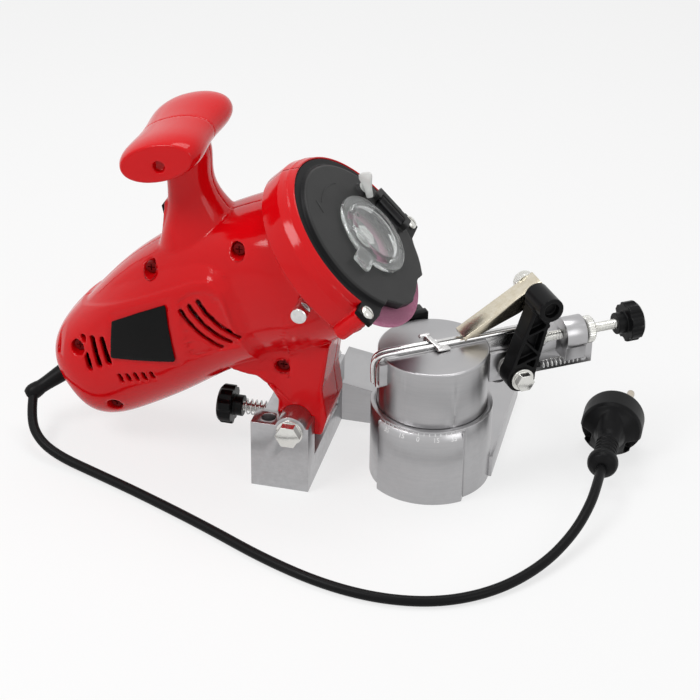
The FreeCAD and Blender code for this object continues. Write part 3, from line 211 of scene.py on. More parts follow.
def cut(obj: bpy.types.Object, tool: bpy.types.Object) -> None:
    """Cut one solid out of another and discard the cutter.

    Args:
        obj: object to cut.
        tool: solid taken away.
    """
    use(obj, "BOOLEAN", operation="DIFFERENCE", object=tool, solver="EXACT")
    bpy.data.objects.remove(tool)


def unite(obj: bpy.types.Object, other: bpy.types.Object) -> None:
    """Join another solid to one and discard it.

    Args:
        obj: object that grows.
        other: solid added.
    """
    use(obj, "BOOLEAN", operation="UNION", object=other, solver="EXACT")
    bpy.data.objects.remove(other)


def gather(obj: bpy.types.Object, others: Sequence[bpy.types.Object]) -> None:
    """Put other meshes into one object, each left as its own island.

    Args:
        obj: object that takes them.
        others: objects taken.
    """
    take(obj)
    for other in others:
        other.select_set(True)
    bpy.ops.object.join()


def place(obj: bpy.types.Object, seat: Matrix) -> None:
    """Move a locally drawn piece to its place, with the place in its mesh.

    Args:
        obj: piece drawn in local metres.
        seat: matrix of its local axes.
    """
    obj.matrix_world = seat @ obj.matrix_world
    take(obj)
    bpy.ops.object.transform_apply(location=True, rotation=True, scale=True)


def block(name: str, low: Point, high: Point) -> bpy.types.Object:
    """Box between two local corners.

    Args:
        name: piece's name.
        low: lowest corner, in millimetres.
        high: highest corner, in millimetres.

    Returns:
        The object, in local metres.
    """
    deselect()
    middle = (Vector(low) + Vector(high)) * (0.5 * MM)
    bpy.ops.mesh.primitive_cube_add(size=1.0, location=middle)
    obj = new_piece(name)
    obj.scale = (Vector(high) - Vector(low)) * MM
    bpy.ops.object.transform_apply(location=True, rotation=True, scale=True)
    return obj


def lathe(name: str, profile: Sequence[tuple[float, float]], sides: int = 48) -> bpy.types.Object:
    """Turned solid: a profile extruded point by point, then spun about the local Z axis.

    Args:
        name: piece's name.
        profile: (radius, height) pairs in millimetres, from axis to axis.
        sides: steps of the spin.

    Returns:
        The object, in local metres.
    """
    deselect()
    radius, height = profile[0]
    bpy.ops.mesh.primitive_plane_add(size=MM, location=(radius * MM, 0.0, height * MM))
    obj = new_piece(name)
    bpy.ops.object.transform_apply(location=True, rotation=True, scale=True)
    with editing(obj):
        bpy.ops.mesh.merge(type="CENTER")
        for (r0, h0), (r1, h1) in zip(profile, profile[1:]):
            step = ((r1 - r0) * MM, 0.0, (h1 - h0) * MM)
            bpy.ops.mesh.extrude_vertices_move(TRANSFORM_OT_translate={"value": step})
        bpy.ops.mesh.select_all(action="SELECT")
        bpy.ops.mesh.spin(steps=sides, angle=2 * math.pi, center=(0, 0, 0), axis=(0, 0, 1))
        bpy.ops.mesh.select_all(action="SELECT")
        bpy.ops.mesh.remove_doubles(threshold=0.000002)
        bpy.ops.mesh.normals_make_consistent(inside=False)
    return obj


@dataclass(frozen=True)
class Ring:
    """One oval of a loft: its middle along and across the axis, half width, half height."""

    along: float
    across: float
    half_wide: float
    half_tall: float


def loft(name: str, rings: Sequence[Ring], power: float = 2.4, sides: int = 48) -> bpy.types.Object:
    """Solid through a row of ovals, extruded ring by ring along the local X axis.

    Args:
        name: piece's name.
        rings: ovals in order; width is along Y and height along Z.
        power: squareness of the ovals, 2 for an ellipse.
        sides: points round each oval.

    Returns:
        The object, in local metres.
    """
    deselect()
    bpy.ops.mesh.primitive_circle_add(vertices=sides, radius=1.0, fill_type="NGON")
    obj = new_piece(name)
    first = rings[0]
    for vertex in obj.data.vertices:
        c, s, _ = vertex.co
        wide = math.copysign(abs(c) ** (2 / power), c) * first.half_wide
        tall = math.copysign(abs(s) ** (2 / power), s) * first.half_tall
        vertex.co = Vector((first.along, wide, first.across + tall)) * MM
    with editing(obj):
        bpy.ops.mesh.select_all(action="SELECT")
        for before, ring in zip(rings, rings[1:]):
            step = Vector((ring.along - before.along, 0.0, ring.across - before.across)) * MM
            bpy.ops.mesh.extrude_region_move(TRANSFORM_OT_translate={"value": step})
            grow = (1.0, ring.half_wide / before.half_wide, ring.half_tall / before.half_tall)
            middle = Vector((ring.along, 0.0, ring.across)) * MM
            bpy.ops.transform.resize(value=grow, center_override=middle)
        bpy.ops.mesh.select_all(action="SELECT")
        bpy.ops.mesh.normals_make_consistent(inside=False)
    return obj


def prism(name: str, outline: Sequence[tuple[float, float]], low: float, high: float) -> bpy.types.Object:
    """Flat outline in local XZ, pushed from one Y to another.

    Args:
        name: piece's name.
        outline: (x, z) corners in millimetres.
        low: nearest Y in millimetres.
        high: farthest Y in millimetres.

    Returns:
        The object, in local metres.
    """
    deselect()
    bpy.ops.mesh.primitive_circle_add(vertices=len(outline), radius=1.0, fill_type="NGON")
    obj = new_piece(name)
    for vertex, (x, z) in zip(obj.data.vertices, outline):
        vertex.co = Vector((x, low, z)) * MM
    with editing(obj):
        bpy.ops.mesh.select_all(action="SELECT")
        step = (0.0, (high - low) * MM, 0.0)
        bpy.ops.mesh.extrude_region_move(TRANSFORM_OT_translate={"value": step})
        bpy.ops.mesh.select_all(action="SELECT")
        bpy.ops.mesh.normals_make_consistent(inside=False)
    return obj


def copy_node(node: str, name: str) -> bpy.types.Object:
    """Merged copy of a CAD node, to be worked further.

    Args:
        node: CAD node's name.
        name: piece's name.

    Returns:
        The copy, in the model's frame.
    """
    deselect()
    source = frame["nodes"][node]
    obj = bpy.data.objects.new(name, source.data.copy())
    obj.data.name = name
    bpy.context.scene.collection.objects.link(obj)
    take(obj)
    bpy.ops.mesh.customdata_custom_splitnormals_clear()
    with editing(obj):
        bpy.ops.mesh.select_all(action="SELECT")
        bpy.ops.mesh.remove_doubles(threshold=0.000005)
        bpy.ops.mesh.dissolve_limited(angle_limit=math.radians(0.3))
    return obj


def round_off(obj: bpy.types.Object, voxel: float, passes: int, limit: int = 170000) -> None:
    """Remesh evenly and relax, so that every edge takes a moulded or cast radius.

    Args:
        obj: closed solid to change.
        voxel: face size in millimetres.
        passes: relaxing passes.
        limit: most triangles kept.
    """
    use(obj, "REMESH", mode="VOXEL", voxel_size=voxel * MM, adaptivity=0.0)
    use(obj, "SMOOTH", factor=0.5, iterations=passes)
    count = 2 * len(obj.data.polygons)
    if count > limit:
        use(obj, "DECIMATE", ratio=limit / count)
    smooth(obj, 70.0)


def arc_bar(name: str, section: Sequence[tuple[float, float]], start: float, sweep: float,
            steps: int = 24) -> bpy.types.Object:
    """Bar of one section bent round the local Z axis, closed at both ends.

    Args:
        name: piece's name.
        section: (radius, height) corners in millimetres.
        start: first angle in degrees from the local X axis.
        sweep: angle covered, in degrees.
        steps: steps of the spin.

    Returns:
        The object, in local metres.
    """
    deselect()
    bpy.ops.mesh.primitive_circle_add(vertices=len(section), radius=1.0, fill_type="NGON")
    obj = new_piece(name)
    for vertex, (radius, height) in zip(obj.data.vertices, section):
        vertex.co = Vector((radius, 0.0, height)) * MM
    with editing(obj):
        bpy.ops.mesh.select_all(action="SELECT")
        bpy.ops.mesh.spin(steps=steps, angle=-math.radians(sweep), center=(0, 0, 0), axis=(0, 0, 1))
        bpy.ops.mesh.select_all(action="SELECT")
        bpy.ops.mesh.remove_doubles(threshold=0.000002)
        bpy.ops.mesh.normals_make_consistent(inside=False)
    obj.matrix_world = Matrix.Rotation(math.radians(start), 4, "Z")
    take(obj)
    bpy.ops.object.transform_apply(location=True, rotation=True, scale=True)
    return obj


def helix(name: str, section: Sequence[tuple[float, float]], pitch: float, turns: int,
          steps: int = 24) -> bpy.types.Object:
    """Section wound round the local Z axis as a thread or a spring, with its ends closed.

    Args:
        name: piece's name.
        section: (radius, height) corners in millimetres.
        pitch: rise of one turn in millimetres.
        turns: number of turns.
        steps: facets in a turn.

    Returns:
        The object, in local metres.
    """
    deselect()
    bpy.ops.mesh.primitive_circle_add(vertices=len(section), radius=1.0)
    obj = new_piece(name)
    for vertex, (radius, height) in zip(obj.data.vertices, section):
        vertex.co = Vector((radius, 0.0, height)) * MM
    use(obj, "SCREW", axis="Z", angle=2 * math.pi, screw_offset=pitch * MM, iterations=turns, steps=steps,
        render_steps=steps, use_merge_vertices=False)
    with editing(obj):
        bpy.ops.mesh.select_all(action="SELECT")
        bpy.ops.mesh.fill_holes(sides=0)
        bpy.ops.mesh.select_all(action="SELECT")
        bpy.ops.mesh.normals_make_consistent(inside=False)
    return obj


def lengthwise(at: Point = (0.0, 0.0, 0.0)) -> Matrix:
    """Matrix that lays a turned piece's axis along X and sets it at a point in millimetres."""
    return Matrix.Translation(Vector(at) * MM) @ Matrix.Rotation(math.pi / 2, 4, "Y")


def axle(start: Point, end: Point) -> Matrix:
    """Matrix that stands the local Z axis on a line.

    Args:
        start: where the local origin goes, in millimetres.
        end: point that the axis runs towards.

    Returns:
        The matrix, in metres.
    """
    along = Vector(end) - Vector(start)
    return Matrix.Translation(Vector(start) * MM) @ along.to_track_quat("Z", "Y").to_matrix().to_4x4()


def bent(name: str, route: Sequence[Point]) -> bpy.types.Object:
    """Smooth line through a row of control points, as a curve without thickness.

    Args:
        name: piece's name.
        route: control points in millimetres.

    Returns:
        The curve.
    """
    deselect()
    bpy.ops.curve.primitive_nurbs_path_add()
    obj = new_piece(name)
    obj.data.splines.clear()
    spline = obj.data.splines.new("NURBS")
    spline.points.add(len(route) - 1)
    for point, where in zip(spline.points, route):
        point.co = (*(Vector(where) * MM), 1.0)
    spline.order_u = 3
    spline.use_endpoint_u = True
    spline.resolution_u = 12
    return obj


def wire(name: str, route: Sequence[Point], radius: float) -> bpy.types.Object:
    """Round bar along a smooth line, as a mesh with closed ends.

    Args:
        name: piece's name.
        route: control points in millimetres.
        radius: bar's radius in millimetres.

    Returns:
        The mesh object, in local metres.
    """
    obj = bent(name, route)
    obj.data.bevel_depth = radius * MM
    obj.data.bevel_resolution = 6
    obj.data.use_fill_caps = True
    take(obj)
    bpy.ops.object.convert(target="MESH")
    merge(obj)
    smooth(obj, 50.0)
    return obj


def strip(name: str, start: Point, end: Point, wide: float, thick: float) -> bpy.types.Object:
    """Flat bar with rounded edges between two points, its width kept level.

    Args:
        name: piece's name.
        start: middle of one end, in millimetres.
        end: middle of the other end.
        wide: width in millimetres.
        thick: thickness in millimetres.

    Returns:
        The object, in local metres.
    """
    along = Vector(end) - Vector(start)
    bar = block(name, (-wide / 2, -thick / 2, 0.0), (wide / 2, thick / 2, along.length))
    soften(bar, min(wide, thick) * 0.3, 3)
    place(bar, axle(start, end))
    return bar


def knurled(name: str, radius: float, bore: float, thick: float, teeth: int) -> bpy.types.Object:
    """Round nut with fine straight teeth, standing on the local Z axis.

    Args:
        name: piece's name.
        radius: radius over the teeth, in millimetres.
        bore: radius of the hole.
        thick: height.
        teeth: number of teeth.

    Returns:
        The object, in local metres.
    """
    edge = min(0.7, thick * 0.2)
    nut = lathe(name, ((bore, 0.0), (radius - edge, 0.0), (radius, edge), (radius, thick - edge),
                       (radius - edge, thick), (bore, thick), (bore, 0.0)), 2 * teeth)
    for vertex in nut.data.vertices:
        reach = vertex.co.xy.length
        step = round(math.atan2(vertex.co.y, vertex.co.x) * teeth / math.pi)
        if reach > (bore + radius) / 2 * MM and step % 2:
            vertex.co.xy *= 1.0 - 0.35 * MM / reach
    return nut


# Surface effects shared by the finishes

class Graph:
    """A node tree with short calls to add and link nodes."""

    def __init__(self, tree: bpy.types.NodeTree) -> None:
        """Keep the tree that nodes go into."""
        self.tree = tree

    def add(self, kind: str, **inputs: Any) -> bpy.types.Node:
        """Add a node and fill or link its inputs.

        Args:
            kind: node type without its prefix.
            inputs: socket values or outputs to link, keyed by socket name with _ for a space;
                a key that is a property of the node sets that instead.

        Returns:
            The node.
        """
        node = self.tree.nodes.new("ShaderNode" + kind)
        for key, value in inputs.items():
            if hasattr(node, key) and key not in ("inputs", "outputs"):
                setattr(node, key, value)
        for key, value in inputs.items():
            if not hasattr(node, key):
                self.feed(node, key.replace("_", " "), value)
        return node

    def feed(self, node: bpy.types.Node, socket: str | int, value: Any) -> None:
        """Set one input, or link it where the value is an output.

        Args:
            node: node with the input.
            socket: input's name or number.
            value: plain value or another node's output.
        """
        target = node.inputs[socket]
        if isinstance(value, bpy.types.NodeSocket):
            self.tree.links.new(value, target)
        else:
            target.default_value = value

    def ramp(self, value: bpy.types.NodeSocket, low: float, high: float,
             out: tuple[float, float] = (0.0, 1.0)) -> bpy.types.NodeSocket:
        """Clamped straight ramp of a value.

        Args:
            value: output to map.
            low: value mapped to the first end.
            high: value mapped to the second end.
            out: both ends.

        Returns:
            The mapped output.
        """
        node = self.add("MapRange", From_Min=low, From_Max=high, To_Min=out[0], To_Max=out[1])
        self.tree.links.new(value, node.inputs["Value"])
        return node.outputs["Result"]

    def math(self, operation: str, a: Any, b: Any) -> bpy.types.NodeSocket:
        """One arithmetic step between two outputs or numbers.

        Args:
            operation: step's name.
            a: first output or number.
            b: second output or number.

        Returns:
            The result's output.
        """
        node = self.tree.nodes.new("ShaderNodeMath")
        node.operation = operation
        self.feed(node, 0, a)
        self.feed(node, 1, b)
        return node.outputs[0]

    def mix(self, share: Any, a: Any, b: Any) -> bpy.types.NodeSocket:
        """Colour between two others.

        Args:
            share: share of the second colour.
            a: first colour.
            b: second colour.

        Returns:
            The mixed colour's output.
        """
        node = self.tree.nodes.new("ShaderNodeMix")
        node.data_type = "RGBA"
        for index, value in ((0, share), (6, a), (7, b)):
            self.feed(node, index, value)
        return node.outputs[2]


def effect(name: str, inputs: dict[str, float], outputs: Sequence[str],
           fill: Callable[[Graph, bpy.types.Node], Sequence[bpy.types.NodeSocket]]) -> bpy.types.NodeTree:
    """Shader node group with named value sockets, built once.

    Args:
        name: group's name.
        inputs: input names and usual values.
        outputs: output names.
        fill: makes the nodes and returns one socket for each output.

    Returns:
        The group.
    """
    found = bpy.data.node_groups.get(name)
    if found:
        return found
    tree = bpy.data.node_groups.new(name, "ShaderNodeTree")
    for key, value in inputs.items():
        socket = tree.interface.new_socket(name=key, in_out="INPUT", socket_type="NodeSocketFloat")
        socket.default_value = value
    for key in outputs:
        tree.interface.new_socket(name=key, in_out="OUTPUT", socket_type="NodeSocketFloat")
    source = tree.nodes.new("NodeGroupInput")
    sink = tree.nodes.new("NodeGroupOutput")
    for key, socket in zip(outputs, fill(Graph(tree), source)):
        tree.links.new(socket, sink.inputs[key])
    return tree


def fill_grain(graph: Graph, source: bpy.types.Node) -> Sequence[bpy.types.NodeSocket]:
    """Fine moulding or casting grain over a slow waviness.

    Args:
        graph: group's nodes.
        source: group's input node.

    Returns:
        Height, fine noise and slow noise.
    """
    where = graph.add("TexCoord").outputs["Object"]
    fine = graph.add("TexNoise", Vector=where, Scale=source.outputs["Scale"], Detail=3.0, Roughness=0.6)
    slow_scale = graph.math("MULTIPLY", source.outputs["Scale"], 0.04)
    slow = graph.add("TexNoise", Vector=where, Scale=slow_scale, Detail=1.0)
    wave = graph.math("MULTIPLY", slow.outputs["Fac"], source.outputs["Waviness"])
    height = graph.math("ADD", fine.outputs["Fac"], wave)
    return height, fine.outputs["Fac"], slow.outputs["Fac"]


def fill_smudge(graph: Graph, source: bpy.types.Node) -> Sequence[bpy.types.NodeSocket]:
    """Handling marks: a roughness that drifts in patches and in faint streaks.

    Args:
        graph: group's nodes.
        source: group's input node.

    Returns:
        Roughness alone.
    """
    where = graph.add("TexCoord").outputs["Object"]
    patch = graph.add("TexNoise", Vector=where, Scale=38.0, Detail=4.0, Roughness=0.62)
    stretch = graph.add("Mapping", Vector=where, Scale=(60.0, 420.0, 60.0))
    streak = graph.add("TexNoise", Vector=stretch.outputs["Vector"], Scale=1.0, Detail=2.0)
    both = graph.math("MULTIPLY", graph.ramp(patch.outputs["Fac"], 0.35, 0.75), source.outputs["Patches"])
    lines = graph.math("MULTIPLY", graph.ramp(streak.outputs["Fac"], 0.45, 0.8),
                       source.outputs["Streaks"])
    rough = graph.math("ADD", source.outputs["Base"], graph.math("ADD", both, lines))
    return (rough,)


def fill_wear(graph: Graph, source: bpy.types.Node) -> Sequence[bpy.types.NodeSocket]:
    """Bright rubbing along convex edges, broken up by noise.

    Args:
        graph: group's nodes.
        source: group's input node.

    Returns:
        Mask alone.
    """
    where = graph.add("TexCoord").outputs["Object"]
    edge = graph.ramp(graph.add("NewGeometry").outputs["Pointiness"], 0.52, 0.62)
    chip = graph.add("TexNoise", Vector=where, Scale=240.0, Detail=4.0, Roughness=0.7)
    worn = graph.math("MULTIPLY", edge, graph.ramp(chip.outputs["Fac"], 0.4, 0.62))
    return (graph.math("MULTIPLY", worn, source.outputs["Amount"]),)


def grain_group() -> bpy.types.NodeTree:
    """Group of the moulding grain."""
    return effect("surface_grain", {"Scale": 900.0, "Waviness": 1.0}, ("Height", "Fine", "Slow"),
                  fill_grain)


def smudge_group() -> bpy.types.NodeTree:
    """Group of the handling marks."""
    return effect("handling_marks", {"Base": 0.3, "Patches": 0.1, "Streaks": 0.0}, ("Roughness",),
                  fill_smudge)


def wear_group() -> bpy.types.NodeTree:
    """Group of the edge rubbing."""
    return effect("edge_rubbing", {"Amount": 0.5}, ("Mask",), fill_wear)


# Finishes

@dataclass(frozen=True)
class Finish:
    """One surface finish: two tints that drift into each other, gloss, grain and edge rubbing."""

    name: str
    tint: Colour
    drift: Colour
    rubbed: Colour
    gloss: float = 0.3
    patches: float = 0.08
    streaks: float = 0.0
    metal: float = 0.0
    grain: float = 900.0
    depth: float = 0.02
    waviness: float = 1.0
    wear: float = 0.3
    edge: float = 0.0
    coat: float = 0.0
    settings: tuple[tuple[str, float], ...] = ()

    def material(self) -> bpy.types.Material:
        """Material of this finish, made once."""
        found = bpy.data.materials.get(self.name)
        return found or self.build()

    def build(self) -> bpy.types.Material:
        """Make the material's nodes.

        Returns:
            The material.
        """
        material = bpy.data.materials.new(self.name)
        material.use_nodes = True
        graph = Graph(material.node_tree)
        shader = material.node_tree.nodes["Principled BSDF"]
        grain = graph.add("Group", node_tree=grain_group(), Scale=self.grain, Waviness=self.waviness)
        marks = graph.add("Group", node_tree=smudge_group(), Base=self.gloss, Patches=self.patches,
                          Streaks=self.streaks)
        rub = graph.add("Group", node_tree=wear_group(), Amount=self.wear)
        body = self.colour(graph, grain)
        graph.feed(shader, "Base Color", graph.mix(rub.outputs["Mask"], body, self.rubbed))
        graph.feed(shader, "Roughness", marks.outputs["Roughness"])
        graph.feed(shader, "Metallic", self.metal)
        graph.feed(shader, "Coat Weight", self.coat)
        for socket, value in self.settings:
            graph.feed(shader, socket, value)
        bump = graph.add("Bump", Strength=1.0, Distance=self.depth * MM)
        graph.feed(bump, "Height", grain.outputs["Height"])
        if self.edge:
            rounding = graph.add("Bevel", samples=6, Radius=self.edge * MM)
            graph.feed(bump, "Normal", rounding.outputs["Normal"])
        graph.feed(shader, "Normal", bump.outputs["Normal"])
        return material

    def colour(self, graph: Graph, grain: bpy.types.Node) -> bpy.types.NodeSocket:
        """Body colour before edge rubbing."""
        return graph.mix(grain.outputs["Slow"], self.tint, self.drift)


@dataclass(frozen=True)
class Abrasive(Finish):
    """Bonded grit: pale and dark grains in a tinted bond."""

    grit: Colour = (0.62, 0.42, 0.5, 1.0)

    def colour(self, graph: Graph, grain: bpy.types.Node) -> bpy.types.NodeSocket:
        """Bond colour with single grains showing.

        Args:
            graph: material's nodes.
            grain: grain group's node.

        Returns:
            The colour's output.
        """
        where = graph.add("TexCoord").outputs["Object"]
        cells = graph.add("TexVoronoi", Vector=where, Scale=1700.0)
        spots = graph.ramp(cells.outputs["Distance"], 0.1, 0.5)
        bond = graph.mix(grain.outputs["Fine"], self.tint, self.drift)
        return graph.mix(spots, self.grit, bond)


@dataclass(frozen=True)
class Brushed(Finish):
    """Machined or linished metal with fine parallel lines."""

    lines: Point = (40.0, 40.0, 1600.0)

    def colour(self, graph: Graph, grain: bpy.types.Node) -> bpy.types.NodeSocket:
        """Metal tint, a little darker along the lines.

        Args:
            graph: material's nodes.
            grain: grain group's node.

        Returns:
            The colour's output.
        """
        where = graph.add("TexCoord").outputs["Object"]
        along = graph.add("Mapping", Vector=where, Scale=self.lines)
        line = graph.add("TexNoise", Vector=along.outputs["Vector"], Scale=1.0, Detail=3.0)
        share = graph.math("MULTIPLY", graph.ramp(line.outputs["Fac"], 0.3, 0.7), 0.6)
        return graph.mix(share, self.tint, self.drift)


@dataclass(frozen=True)
class RimShadedFinish(Finish):
    """Moulding with a paler face in front of a rim painted darker as shade, split along an axis."""

    axis: Point = (math.cos(math.radians(HEAD.tilt)), 0.0, math.sin(math.radians(HEAD.tilt)))
    from_origin: float = 0.0747
    # rim: painted shade, the same black moulding made darker where the rim's side wall turns from the
    # light
    rim: Colour = (0.0035, 0.0035, 0.004, 1.0)

    def colour(self, graph: Graph, grain: bpy.types.Node) -> bpy.types.NodeSocket:
        """Painted rim shade behind the split and face colour in front of it.

        Args:
            graph: material's nodes.
            grain: grain group's node.

        Returns:
            The colour's output.
        """
        where = graph.add("TexCoord").outputs["Object"]
        depth = graph.tree.nodes.new("ShaderNodeVectorMath")
        depth.operation = "DOT_PRODUCT"
        graph.feed(depth, 0, where)
        graph.feed(depth, 1, self.axis)
        front = graph.ramp(depth.outputs["Value"], self.from_origin, self.from_origin + 0.0006)
        face = graph.mix(grain.outputs["Slow"], self.tint, self.drift)
        return graph.mix(front, self.rim, face)


def shade(red: float, green: float, blue: float) -> Colour:
    """Linear colour of screen values from 0 to 255.

    Args:
        red: screen red.
        green: screen green.
        blue: screen blue.

    Returns:
        The colour, opaque.
    """
    linear = [((c / 255 + 0.055) / 1.055) ** 2.4 if c > 10 else c / 255 / 12.92
              for c in (red, green, blue)]
    return linear[0], linear[1], linear[2], 1.0


SATIN = (("Specular IOR Level", 0.1),)
RED_GLOSS = Finish("red_gloss", shade(207, 8, 16), shade(199, 5, 13), shade(214, 26, 34), gloss=0.1,
                   patches=0.05, grain=420.0, depth=0.006, waviness=3.0, wear=0.25, edge=0.7,
                   settings=(("Specular IOR Level", 0.22),))
# Guard cover: one black moulding, its rim painted darker as shade
GUARD_BLACK = RimShadedFinish("guard_black", shade(55, 55, 55), shade(49, 49, 49), shade(72, 72, 73), gloss=0.34,
                      patches=0.1, grain=1500.0, depth=0.03, wear=0.3, settings=SATIN)
KNOB_BLACK = Finish("knob_black", shade(20, 20, 21), shade(15, 15, 16), shade(50, 50, 52), gloss=0.28,
                    patches=0.1, grain=1100.0, depth=0.02, wear=0.3, edge=0.5, settings=SATIN)
LEAD_BLACK = Finish("lead_black", shade(19, 19, 20), shade(14, 14, 15), shade(42, 42, 44), gloss=0.36,
                    patches=0.12, grain=1300.0, depth=0.02, wear=0.2, edge=0.3, settings=SATIN)
BARE_LABEL = Finish("bare_label", shade(15, 15, 15), shade(11, 11, 11), shade(40, 40, 40), gloss=0.07,
                    patches=0.04, grain=700.0, depth=0.002, wear=0.2, settings=SATIN)
DARK_STEEL = Finish("dark_steel", shade(104, 102, 104), shade(92, 90, 92), shade(140, 140, 142),
                    gloss=0.34, patches=0.08, metal=1.0, grain=1500.0, depth=0.01, wear=0.3)
# Housing screws tinted dark red: painted shade and painted red reflection of the pocket round each screw,
# not the screws' own colour
SCREW_POCKET_SHADE = Finish("screw_pocket_shade", shade(124, 10, 12), shade(100, 8, 10), shade(90, 40, 40), gloss=0.4,
                    grain=1500.0, depth=0.01, settings=SATIN)
CAST_GREY = Brushed("cast_grey", shade(174, 173, 174), shade(166, 166, 168), shade(210, 210, 212),
                    gloss=0.28, patches=0.04, streaks=0.015, metal=1.0, grain=1400.0, depth=0.006,
                    wear=0.35, edge=0.5, lines=(60.0, 60.0, 900.0))
SCALE_MARK = Finish("scale_mark", shade(212, 212, 212), shade(200, 200, 200), shade(224, 224, 224),
                    gloss=0.5, metal=1.0, grain=1500.0, depth=0.01)
YELLOW_ZINC = Finish("yellow_zinc", shade(212, 202, 180), shade(198, 190, 172), shade(232, 228, 216),
                     gloss=0.2, patches=0.12, metal=1.0, grain=1200.0, depth=0.01, wear=0.3, edge=0.3)
PRONG_METAL = Finish("prong_metal", shade(190, 180, 164), shade(172, 164, 150), shade(222, 216, 206),
                     gloss=0.24, patches=0.1, metal=1.0, grain=1300.0, depth=0.01, wear=0.3)
BRIGHT_STEEL = Brushed("bright_steel", shade(214, 213, 212), shade(190, 190, 190), shade(240, 240, 240),
                       gloss=0.2, patches=0.08, streaks=0.06, metal=1.0, grain=1600.0, depth=0.008,
                       wear=0.3, edge=0.25, lines=(500.0, 40.0, 500.0))
ZINC_PLATE = Finish("zinc_plate", shade(222, 221, 214), shade(205, 205, 203), shade(240, 240, 238),
                    gloss=0.17, patches=0.1, metal=1.0, grain=1200.0, depth=0.01, wear=0.3, edge=0.3)
WINDING = Finish("winding_copper", shade(188, 112, 66), shade(160, 84, 44), shade(220, 150, 110),
                 gloss=0.35, metal=1.0, grain=2000.0, depth=0.02)
BRUSH_CARBON = Finish("brush_carbon", shade(42, 42, 44), shade(30, 30, 32), shade(70, 70, 72), gloss=0.6,
                      grain=2200.0, depth=0.03)
PINK_STONE = Abrasive("pink_stone", shade(190, 114, 146), shade(162, 92, 124), shade(200, 150, 170),
                      gloss=0.85, patches=0.05, grain=1900.0, depth=0.12, wear=0.2,
                      grit=shade(205, 158, 178))


@dataclass(frozen=True)
class ClearPlastic:
    """Clear moulded plastic with faint haze and fine scratches."""

    name: str = "clear_plastic"
    tint: Colour = (0.93, 0.95, 0.94, 1.0)
    haze: float = 0.12
    clear: float = 0.94

    def material(self) -> bpy.types.Material:
        """Material of the clear plastic, made once.

        Returns:
            The material.
        """
        found = bpy.data.materials.get(self.name)
        if found:
            return found
        material = bpy.data.materials.new(self.name)
        material.use_nodes = True
        graph = Graph(material.node_tree)
        shader = material.node_tree.nodes["Principled BSDF"]
        grain = graph.add("Group", node_tree=grain_group(), Scale=500.0, Waviness=2.0)
        marks = graph.add("Group", node_tree=smudge_group(), Base=self.haze, Patches=0.05, Streaks=0.06)
        cloud = (0.86, 0.88, 0.87, 1.0)
        graph.feed(shader, "Base Color", graph.mix(grain.outputs["Slow"], self.tint, cloud))
        graph.feed(shader, "Roughness", marks.outputs["Roughness"])
        graph.feed(shader, "Transmission Weight", self.clear)
        graph.feed(shader, "IOR", 1.12)
        graph.feed(shader, "Coat Weight", 0.6)
        graph.feed(shader, "Coat Roughness", 0.06)
        bump = graph.add("Bump", Strength=1.0, Distance=0.004 * MM)
        graph.feed(bump, "Height", grain.outputs["Height"])
        graph.feed(shader, "Normal", bump.outputs["Normal"])
        return material


CLEAR_WINDOW = ClearPlastic()
FROSTED = ClearPlastic("frosted_plastic", (0.86, 0.85, 0.83, 1.0), 0.4, 0.45)

SLOT_FINISH = {
    Slot.RED: RED_GLOSS,
    Slot.MOULDING: KNOB_BLACK,
    Slot.RUBBER: LEAD_BLACK,
    Slot.CLEAR: CLEAR_WINDOW,
    Slot.ABRASIVE: PINK_STONE,
    Slot.CASTING: CAST_GREY,
    Slot.STEEL: BRIGHT_STEEL,
    Slot.PLATED: ZINC_PLATE,
    Slot.COPPER: WINDING,
    Slot.CARBON: BRUSH_CARBON,
    Slot.LABEL: BARE_LABEL,
}
NODE_FINISH = {
    "guard_cover": GUARD_BLACK,
    "outer_flange": DARK_STEEL,
    "stator_core": DARK_STEEL,
    "rotor_core": DARK_STEEL,
    "window_hinge_pin": KNOB_BLACK,
    "stop_pawl": YELLOW_ZINC,
    "plug_pin_1": PRONG_METAL,
    "plug_pin_2": PRONG_METAL,
    # housing screws: painted pocket shade and red reflection
    **{f"housing_screw_{i}": SCREW_POCKET_SHADE for i in range(1, 6)},
}


def node_slot(node: str) -> Slot:
    """Material slot that the record gives a CAD node.

    Args:
        node: CAD node's name.

    Returns:
        The slot.
    """
    for entry in frame["record"]["materials"]:
        if node in entry.get("nodes", ()):
            return Slot(entry["slot"])
    return Slot(frame["nodes"][node].data.materials[0].name)


def paint(obj: bpy.types.Object, finish: Finish | ClearPlastic) -> None:
    """Give a piece one finish all over.

    Args:
        obj: piece.
        finish: its finish.
    """
    material = finish.material()
    if not obj.data.materials:
        obj.data.materials.append(material)
    for slot in obj.material_slots:
        slot.link = "OBJECT"
        slot.material = material


def dress(obj: bpy.types.Object, slot: Slot, finish: Finish | ClearPlastic, *nodes: str) -> None:
    """Give a modelled piece its finish and hide the CAD nodes it stands for.

    Args:
        obj: piece.
        slot: record slot of its finish; not used.
        finish: its finish.
        nodes: CAD nodes it replaces.
    """
    obj.data.materials.clear()
    obj.data.materials.append(finish.material())
    if nodes:
        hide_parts(*nodes)


def settle(obj: bpy.types.Object, body: str, slot: Slot, finish: Finish | ClearPlastic,
           *nodes: str) -> None:
    """Dress a modelled piece and let it ride on one body.

    Args:
        obj: piece, in its place.
        body: CAD body it rides on.
        slot: record slot of its finish.
        finish: its finish.
        nodes: CAD nodes it replaces.
    """
    dress(obj, slot, finish, *nodes)
    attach(obj, body)
    LOG.info("%s on %s", obj.name, body)


# Studio

